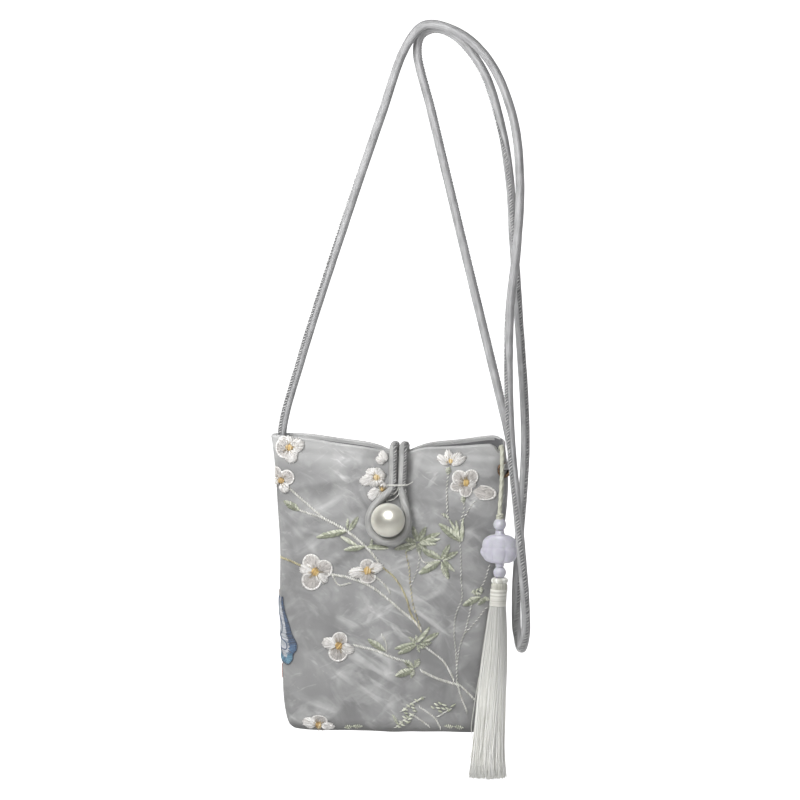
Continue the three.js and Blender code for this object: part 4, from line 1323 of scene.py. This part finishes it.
def addCentre(pile, cloth, centre, half, angle, rng):
    axis, side = petalAxes(angle)
    count = blossom["goldThreads"]
    q = np.linspace(-1, 1, count)
    t = np.linspace(-1, 1, 6)
    reach = 0.95 * half * np.sqrt(1 - 0.8 * q ** 2) * rng.uniform(0.7, 1.25, count)
    along, beside = (reach[:, None] * t)[..., None], (0.82 * half * q)[:, None, None]
    spots = np.array(centre) + along * axis + beside * side
    lift = 0.5 + 1.0 * (1 - t ** 2)[None] * (1 - 0.5 * q ** 2)[:, None] + 0.2 * rng.random((count, 1))
    gold = shades(rng, count, *blossom["gold"])
    gold = np.where(rng.random((count, 1)) < blossom["creamShare"], np.array(blossom["cream"]), gold)
    pile.lay(cloth, spots, lift, blossom["goldRadius"], gold)
    count = blossom["stamens"]
    turn = rng.uniform(0, 2 * math.pi, count)
    reach = half * (0.8 + rng.uniform(0.9, 1.6, count)[:, None] * np.linspace(0, 0.8, 4))
    spots = np.array(centre) + reach[..., None] * roundAbout(turn)[:, None, :2]
    colours = shades(rng, count, *blossom["stamen"])
    pile.lay(cloth, spots, blossom["stamenLift"], blossom["stamenRadius"], colours, sides=4)


def makeBlossoms(name, cloth, flowers, finish, seed):
    rng = np.random.default_rng(seed)
    petals, centres = Stitches(), Stitches()
    for centre, rows, half in flowers:
        for petal in rows:
            addPetal(petals, cloth, centre, petal, rng)
        if half:
            angle = rows[-1][0] + blossom["turnFromPetal"] if rows else blossom["aloneTurn"]
            addCentre(centres, cloth, centre, half, angle, rng)
    finishPiece(petals.piece(name + "_petals"), finish, "thread")
    finishPiece(centres.piece(name + "_centres"), finish, "thread")


# leaves: from, to, width
foliage = {
    "pitch": 0.85, "rise": 0.5, "base": 0.14, "loose": 0.24, "fray": 0.08, "radius": 0.37, "splitFrom": 4.6,
    "splitSlant": 0.10, "slant": 0.2, "grainBase": 0.2, "grainRise": 0.45, "grainThick": 0.42,
    "deep": (tint(118, 124, 100), tint(178, 183, 158)), "light": (tint(156, 162, 136), tint(226, 228, 211)),
    "leaves": [
        ((299.5, 510.1), (284.3, 501.2), 7), ((346, 531.5), (317.3, 537.2), 6.5),
        ((346, 530.2), (330, 532), 2.5), ((349, 530.7), (358, 517.3), 5), ((347.5, 528), (347.7, 519), 3),
        ((341, 537), (357.5, 545.4), 4.5), ((365, 546.5), (344.6, 549.9), 5), ((367, 546.5), (388, 548), 5),
        ((371, 546), (372, 539), 3), ((417.3, 541), (413.3, 527), 5.5), ((418.5, 541), (425.8, 527.4), 5.5),
        ((420, 541.5), (439.6, 533.2), 5.5), ((421, 542.5), (439.8, 538.8), 4.5),
        ((420, 543.5), (436, 543.6), 4), ((418.5, 543.5), (427, 549.5), 5),
        ((416, 541.5), (404.9, 538.9), 5), ((416, 543.5), (395, 549.2), 6), ((416, 545), (405.8, 551.5), 4),
        ((418, 544), (420, 553.5), 5), ((441, 558.5), (422.8, 549.8), 7), ((441.5, 559), (449.4, 545), 6),
        ((443, 560), (457.4, 552), 5.5), ((440.5, 561), (419.5, 573.2), 8),
        ((442, 562), (448.4, 578.6), 6.5), ((443.5, 561), (454.6, 570.8), 4.5),
        ((461, 541.4), (439.6, 524.2), 8), ((460, 538), (449.5, 520), 3), ((461, 538), (462.8, 519), 3),
        ((459, 536), (456, 521), 2.6), ((462, 541), (463.4, 526), 2.4), ((480, 597), (463.4, 605.2), 7),
        ((486, 598), (478, 604.4), 5), ((480.5, 594), (471.7, 592.6), 4), ((481.5, 593), (480.6, 586.8), 4),
        ((484, 597.5), (489, 599.8), 4), ((385.2, 650.8), (368.5, 639.6), 6.5),
        ((415.5, 643.3), (395.4, 648.6), 5), ((416, 645), (398.6, 653.5), 5.5),
        ((416, 642.3), (408.9, 637.2), 3.4), ((417.3, 642), (415.9, 635.3), 3),
        ((418, 642), (423, 633.4), 3.6), ((419.5, 641.5), (429, 627.2), 4.2),
        ((424, 641), (438.2, 633.2), 5.4), ((420, 643.4), (431, 642.6), 6), ((419, 645), (425, 647.5), 5),
        ((417.4, 645), (419.6, 651.8), 3.2), ((413.5, 669), (396, 675.8), 7.5),
        ((413.6, 667.6), (404.6, 660.6), 6), ((415, 667), (418.8, 659.4), 6.5),
        ((414, 670), (411.4, 677.6), 4.4), ((397.4, 723), (392.8, 715.2), 3), ((442, 514), (448.5, 517), 3),
        ((449.5, 467.5), (447.6, 474), 6), ((379.5, 487.5), (384, 494), 5), ((463, 496), (463.5, 503), 5),
        ((352, 726.2), (345, 727.2), 3.6), ((353, 726.4), (362, 725.8), 3.6),
        ((453, 726.4), (445, 726), 3.6), ((455, 726.6), (463, 727.4), 3.6),
    ],
    # fat single stitches: from, to
    "grains": [
        ((421, 696.8), (424, 699.6)), ((418, 700), (422.4, 697.6)), ((414.6, 699), (418.4, 702)),
        ((410, 703), (414.6, 705.6)), ((406.4, 704.6), (410.4, 707.4)), ((411, 707), (415.4, 709)),
        ((403, 708), (408, 710.6)), ((402, 711), (406.4, 709)), ((412.6, 710.6), (417, 711.4)),
        ((409.4, 713), (413.6, 716.4)), ((406, 715.4), (410.6, 718)), ((402.4, 716), (407, 718.8)),
        ((408, 719.4), (412.4, 718)), ((403.6, 720), (408.6, 722)), ((399, 720.8), (403.4, 723.4)),
        ((395.6, 722), (400, 724.8)), ((400.4, 724), (405.4, 725.6)), ((396.6, 726), (401.4, 727)),
        ((406, 723), (410.6, 721.4)), ((434, 703), (438.6, 705.4)), ((438, 701.8), (442.4, 704.6)),
        ((442, 704), (446.8, 705.6)), ((436, 707), (440.8, 708.6)), ((441, 707.4), (445.8, 709.4)),
        ((445.4, 707), (449.8, 709.6)), ((438, 710.4), (442.6, 712.4)), ((450.4, 707), (455.8, 703.8)),
        ((447, 711.4), (451.6, 708.8)), ((471.6, 592.8), (474.4, 589.6)), ((475.6, 591.4), (479, 588.4)),
        ((404, 712.6), (408.6, 713.8)), ((431, 706), (434.6, 708.8)),
    ],
}


def addLeaf(pile, cloth, start, end, width, rng):
    start, end = np.array(start), np.array(end)
    length = float(np.linalg.norm(end - start))
    axis = (end - start) / length
    side = np.array((-axis[1], axis[0]))
    count = max(5, int(length * photo["pixel"] / foliage["pitch"]))
    t = np.linspace(0.03, 0.97, count)
    half = width / 2 * np.sin(math.pi * t ** 0.9) ** 0.7
    full = np.sqrt(half / half.max())[:, None]
    run = np.linspace(0, 1, 4)
    # wide leaves have a row on each side of the vein
    rows = ((0.0, -1.0), (0.0, 1.0)) if width >= foliage["splitFrom"] else ((-1.0, 1.0),)
    for inner, outer in rows:
        slant = foliage["splitSlant" if inner == 0 else "slant"] * (run - 0.5)
        along = length * np.clip(t[:, None] + slant, 0, 1.02)
        fray = 1 + foliage["fray"] * rng.normal(size=(count, 1))
        cross = half[:, None] * (inner + (outer - inner) * run) * fray
        spots = start + along[..., None] * axis + cross[..., None] * side
        bend = 1 - (run * 0.9) ** 2 if inner == 0 else 1 - (2 * run - 1) ** 2
        lift = foliage["base"] + foliage["rise"] * bend * full + foliage["loose"] * rng.random((count, 1))
        colours = shades(rng, count, *foliage["deep" if outer < 0 else "light"])
        pile.lay(cloth, spots, lift, foliage["radius"], colours)


def addGrain(pile, cloth, start, end, rng):
    run = np.linspace(0, 1, 6)
    spots = (np.array(start) + (np.array(end) - np.array(start)) * run[:, None])[None]
    swell = np.sin(math.pi * run)[None]
    lift = foliage["grainBase"] + foliage["grainRise"] * swell
    radii = foliage["grainBase"] + foliage["grainThick"] * swell
    pile.lay(cloth, spots, lift, radii, shades(rng, 1, *foliage["light"]), sides=6)


def makeFoliage(name, cloth, leaves, grains, finish, seed):
    rng = np.random.default_rng(seed)
    pile = Stitches()
    for start, end, width in leaves:
        addLeaf(pile, cloth, start, end, width, rng)
    for start, end in grains:
        addGrain(pile, cloth, start, end, rng)
    finishPiece(pile.piece(name), finish, "thread")


# stems: width, golden or not, then the points they run through
stems = {
    # step, length and thickness of stem stitches, and of running stitches on the thin lines
    "stem": (1.35, 2.3, 0.22), "run": (2.2, 1.8, 0.24), "runBelow": 2.0,
    "slant": 0.45, "rise": 0.34, "base": 0.14, "loose": 0.06, "lengths": (0.85, 1.15), "taper": 0.5,
    "pale": (tint(202, 202, 192), tint(252, 251, 246)), "golden": (tint(146, 134, 88), tint(224, 214, 164)),
    "lines": [
        (2.4, 0, [(285, 486), (290, 489), (306, 503), (323, 518)]),
        (2.2, 0, [(299, 510), (311, 514), (323, 518)]),
        (3.0, 0, [(323, 518), (342, 528), (356, 538), (370, 551), (378, 561)]),
        (2.4, 1, [(281, 557), (291, 561), (302, 566)]),
        (3.0, 0, [(329, 574), (350, 578), (370, 586), (386.5, 598), (403, 612), (415, 622), (421, 629)]),
        (2.0, 0, [(333, 576), (339, 585), (350, 583)]), (2.2, 0, [(376, 577), (384, 584), (390, 592)]),
        (2.1, 1, [(383.5, 568), (393, 576), (401, 587), (407, 600), (411, 614), (421, 630)]),
        (1.9, 1, [(406, 553), (409, 567), (410, 581), (413, 604), (421, 629)]),
        (1.7, 0, [(420, 551), (418, 567), (411, 585)]),
        (1.9, 0, [(449, 470), (447, 486), (447, 502), (448, 518)]),
        (1.7, 0, [(464, 500), (464, 510), (461, 520)]), (1.6, 0, [(474, 502), (466, 514), (462, 522)]),
        (1.7, 0, [(460, 542), (461, 560), (461, 579), (462, 598), (456, 614), (454, 634), (456, 655),
            (457, 683)]),
        (1.8, 0, [(472, 602), (466, 628), (459, 649), (457, 665)]),
        (1.7, 0, [(486, 608), (476, 621), (466, 632)]), (1.7, 0, [(481, 588), (486, 577), (489, 566)]),
        (2.4, 0, [(426.3, 647.7), (436, 655), (443.2, 661), (450, 672), (453.7, 680)]),
        (2.8, 0, [(355, 645.5), (374, 650), (391, 657), (404.6, 661)]),
        (2.0, 0, [(382, 635.5), (386, 643), (386.5, 651.5)]),
        (2.9, 0, [(421.4, 670.9), (437.5, 678.6), (457.9, 684.9)]),
        (2.2, 0, [(457, 683), (462.8, 687.7), (474.7, 699.6)]),
        (2.0, 0, [(458, 686), (460.7, 696), (467, 711.6)]),
        (2.0, 0, [(420, 707.4), (434.7, 717.9), (440.4, 727.7)]),
        (2.0, 0, [(450.2, 708.8), (444, 713), (438.2, 716.5)]),
        (2.0, 0, [(414, 715.4), (422, 721), (429, 726)]), (2.0, 0, [(424, 697), (412, 703.5), (402, 711)]),
        (2.0, 0, [(413, 714), (404, 720), (396, 727)]), (2.2, 0, [(419, 553), (424, 562), (438, 560)]),
        (2.2, 0, [(380, 490), (384, 497), (388, 503)]), (1.7, 0, [(448, 518), (455, 530), (460, 542)]),
    ],
}


def addStem(pile, cloth, width, golden, points, rng):
    step, stitch, thick = stems["run" if width < stems["runBelow"] else "stem"]
    line = evenLine(smoothLine(points, 12), step / photo["pixel"])
    ahead = unit(np.gradient(line, axis=0))
    side = np.stack([-ahead[:, 1], ahead[:, 0]], axis=-1)
    run = np.linspace(-1, 1, 4)
    half = stitch / photo["pixel"] / 2 * rng.uniform(*stems["lengths"], len(line))
    slant = (width * stems["slant"] * run)[None, :, None] * side[:, None]
    spots = line[:, None] + ((half[:, None] * run)[..., None] * ahead[:, None] + slant)
    lift = stems["base"] + stems["rise"] * (1 - run ** 2) + stems["loose"] * rng.random((len(line), 1))
    radii = width * photo["pixel"] * thick * (1 - stems["taper"] * run ** 4)[None]
    pile.lay(cloth, spots, lift, radii, shades(rng, len(line), *stems["golden" if golden else "pale"]))


def makeStems(name, cloth, lines, finish, seed):
    rng = np.random.default_rng(seed)
    pile = Stitches()
    for width, golden, points in lines:
        addStem(pile, cloth, width, golden, points, rng)
    finishPiece(pile.piece(name), finish, "thread")


# butterfly on the left side: the edge that the photograph shows, then down to the side line
wing = {
    "edge": [
        (283.2, 597), (284.0, 606), (286.6, 616), (289.8, 626), (293.2, 636), (296.8, 644), (296.4, 650.5),
        (293.6, 654), (292.4, 660.4), (288.2, 664.2), (284.6, 662.4),
    ],
    "edgeEnd": (1.0, 658.0), "backSteps": 12,
    "border": 5.0, "pitch": 0.46, "radius": 0.28, "base": 0.15, "borderRise": 0.6, "fillRise": 0.25,
    # width of the border by row, then the rows where its blue and its teal begin
    "borderRows": (597, 616, 642), "borderShare": (0.35, 0.6, 1.2), "blueFrom": 646, "tealFrom": 655,
    "navy": (tint(20, 38, 66), tint(56, 88, 126)), "blue": (tint(26, 60, 100), tint(72, 120, 160)),
    "teal": (tint(40, 92, 124), tint(96, 148, 172)), "pale": (tint(142, 148, 156), tint(198, 200, 206)),
    "red": (tint(166, 88, 78), tint(206, 138, 126)), "body": (tint(70, 52, 44), tint(120, 92, 70)),
    # lift and radius of the single lines
    "edgeLine": (0.35, 0.3), "leadingLine": (0.5, 0.6), "veinLine": (0.55, 0.34),
    "leading": [(1.0, 620), (3.0, 612), (5.5, 604), (8.5, 597)], "fillRows": (604, 658),
    "veins": [
        [(0, 606), (7, 615), (12, 625), (11, 634), (5, 634), (0, 628)],
        [(0, 630), (9, 638), (17, 644), (17, 650), (8, 648), (0, 640)],
        [(0, 642), (8, 650), (13, 656), (9, 660), (2, 654), (0, 650)],
    ],
    # body and tail spot: colour, top, bottom, half width
    "bodies": [("body", 592, 654, 2.2), ("red", 667, 681, 2.6)],
}


def wingEdge(step):
    place = maps["front"].at(np.array(wing["edge"]))[0]
    across = (place - np.array(charts["leftPlace"])) @ sideAxes()[0] / photo["pixel"]
    edge = np.stack([across, photo["zeroRow"] - place[:, 2] / photo["pixel"]], axis=-1)
    return evenLine(smoothLine(edge.tolist() + [wing["edgeEnd"]], 10), step)


def makeWing(name, cloth, finish, seed):
    rng = np.random.default_rng(seed)
    pile = Stitches()
    step = wing["pitch"] / photo["pixel"]
    edge = wingEdge(step)
    outline = edge[:-wing["backSteps"]]

    def edgeAt(rows):
        return np.interp(rows, outline[:, 1], outline[:, 0])

    def layLine(line, look):
        lift, radius = wing[look]
        pile.lay(cloth, line[None], lift, radius, shades(rng, 1, *wing["navy"]), sides=6)

    def layFill(starts, ends, steps):
        spots = starts[:, None] + (ends - starts)[:, None] * np.linspace(0, 1, steps)[None, :, None]
        pile.lay(cloth, spots, wing["fillRise"], wing["radius"], shades(rng, len(starts), *wing["pale"]))

    # border
    ahead = unit(np.gradient(edge, axis=0))
    inward = np.stack([-ahead[:, 1], ahead[:, 0]], axis=-1)
    run = np.linspace(0, 1, 5)
    wide = np.interp(edge[:, 1], wing["borderRows"], wing["borderShare"])
    reach = wing["border"] * wide * rng.uniform(0.85, 1.2, len(edge))
    spots = edge[:, None] + (reach[:, None] * run)[..., None] * inward[:, None]
    spots[..., 0] = np.maximum(spots[..., 0], -0.5)
    lift = wing["base"] + wing["borderRise"] * np.sin(math.pi * run)
    navy, blue, teal = (shades(rng, len(edge), *wing[key]) for key in ("navy", "blue", "teal"))
    row = edge[:, 1:]
    colours = np.where(row > wing["tealFrom"], teal, np.where(row > wing["blueFrom"], blue, navy))
    pile.lay(cloth, spots, lift, wing["radius"], colours)
    layLine(edge, "edgeLine")

    # pale filling, leading edge and veins
    fill = np.arange(*wing["fillRows"], step)
    starts = np.stack([np.zeros_like(fill), fill - 3], axis=-1)
    layFill(starts, np.stack([np.maximum(edgeAt(fill) - 2.0, 1.0), fill + 1.5], axis=-1), 8)
    line = evenLine(smoothLine(wing["leading"], 10), step)
    line[:, 0] = np.minimum(line[:, 0], edgeAt(line[:, 1]) - 0.5)
    outer = np.maximum(edgeAt(line[:, 1]) - 3.0, line[:, 0] + 0.5)
    layFill(line, np.stack([outer, line[:, 1] + 3.0], axis=-1), 6)
    layLine(line, "leadingLine")
    for vein in wing["veins"]:
        layLine(evenLine(smoothLine(vein, 8), 0.8), "veinLine")

    for key, top, bottom, half in wing["bodies"]:
        rows = np.arange(top, bottom, step)
        across = np.linspace(-0.6, 1, 4)
        wide = half * np.sin(math.pi * (rows - top + 2) / (bottom - top + 4)) ** 0.5
        spots = np.stack(np.broadcast_arrays(wide[:, None] * across, rows[:, None] + 0.8 * across), axis=-1)
        colours = shades(rng, len(rows), *wing[key])
        pile.lay(cloth, spots, 0.35 + 0.5 * (1 - across ** 2), wing["radius"], colours)
    finishPiece(pile.piece(name), finish, "thread")


embroidery = threadFinish("embroidery_silk", 0.46, 0.25)
makeBlossoms("blossom", maps["front"], blossom["flowers"], embroidery, 31)
makeFoliage("leaves", maps["front"], foliage["leaves"], foliage["grains"], embroidery, 32)
makeStems("stems", maps["front"], stems["lines"], embroidery, 33)
makeWing("wing", maps["left"], embroidery, 34)
makeWing("wing_back", maps["leftBack"], embroidery, 35)
# the back repeats a choice of the front's motifs
makeBlossoms("back_blossom", maps["back"], blossom["flowers"][9:] + blossom["flowers"][5:9], embroidery, 36)
makeFoliage("back_leaves", maps["back"], foliage["leaves"][1:50], foliage["grains"], embroidery, 37)
makeStems("back_stems", maps["back"], stems["lines"][2:28], embroidery, 38)
print("embroidery worked")


# the floor, the backdrop and the sky
stage = {
    "floorZ": -800.0, "floorRadius": 1.88, "floorSides": 128, "pale": (0.9, 0.9, 0.9), "world": 0.45,
    "toBack": 0.14, "toTop": 0.14, "backdropSize": 5.0, "backdropAway": 12.0,
}


def finishStage(name, finishName, look):
    piece = bpy.context.object
    piece.name = name
    finish, surface, shade = startFinish(finishName)
    shade.plug(surface, look)
    piece.data.materials.append(finish)


def makeStage():
    nothingSelected()
    bpy.ops.mesh.primitive_circle_add(vertices=stage["floorSides"], radius=stage["floorRadius"],
                                      fill_type="NGON", location=(0, 0, stage["floorZ"] * mm))
    look = {"Base Color": stage["pale"], "Roughness": 0.9, "Specular IOR Level": 0.1}
    finishStage("floor", "floor_pale", look)
    place = np.array(photo["target"]) * mm - stage["backdropAway"] * photoAxes()[2]
    nothingSelected()
    bpy.ops.mesh.primitive_plane_add(size=stage["backdropSize"], location=place, rotation=photoFacing())
    look = {"Base Color": stage["pale"], "Roughness": 1.0, "Emission Color": (1, 1, 1),
            "Emission Strength": 1.0}
    finishStage("backdrop", "backdrop_white", look)
    world = bpy.data.worlds.new("studio")
    world.use_nodes = True
    shade = Shade(world.node_tree)
    toward = shade.make("ShaderNodeTexCoord", out="Generated")
    glow = stage["world"] + toward.part("Y") * stage["toBack"] + toward.part("Z") * stage["toTop"]
    shade.plug(world.node_tree.nodes["Background"], {"Color": (1, 1, 1), "Strength": glow})
    bpy.context.scene.world = world
    bpy.context.scene.view_settings.view_transform = "Standard"


# softboxes: place, size, power, seen in gloss or by cloth
lights = {
    "key": ((-0.3, -0.35, 0.02), 0.3, 2.6, False, True),
    "fill": ((0.05, -0.6, -0.6), 0.3, 0.6, False, True),
    "shine": ((0.02, -0.51, 0.03), 0.38, 3.0, True, False),
}


def makeLights():
    middle = Vector((-0.02, 0, -0.3))
    for name, (place, size, power, gloss, cloth) in lights.items():
        facing = (middle - Vector(place)).to_track_quat("-Z", "Y").to_euler()
        bpy.ops.object.light_add(type="AREA", location=place, rotation=facing)
        lamp = bpy.context.object
        lamp.name = "light_" + name
        lamp.data.shape = "DISK"
        lamp.data.size = size
        lamp.data.energy = power
        lamp.visible_camera = False
        lamp.visible_glossy = gloss
        lamp.visible_diffuse = cloth


makeStage()
makeLights()
print("stage lit")
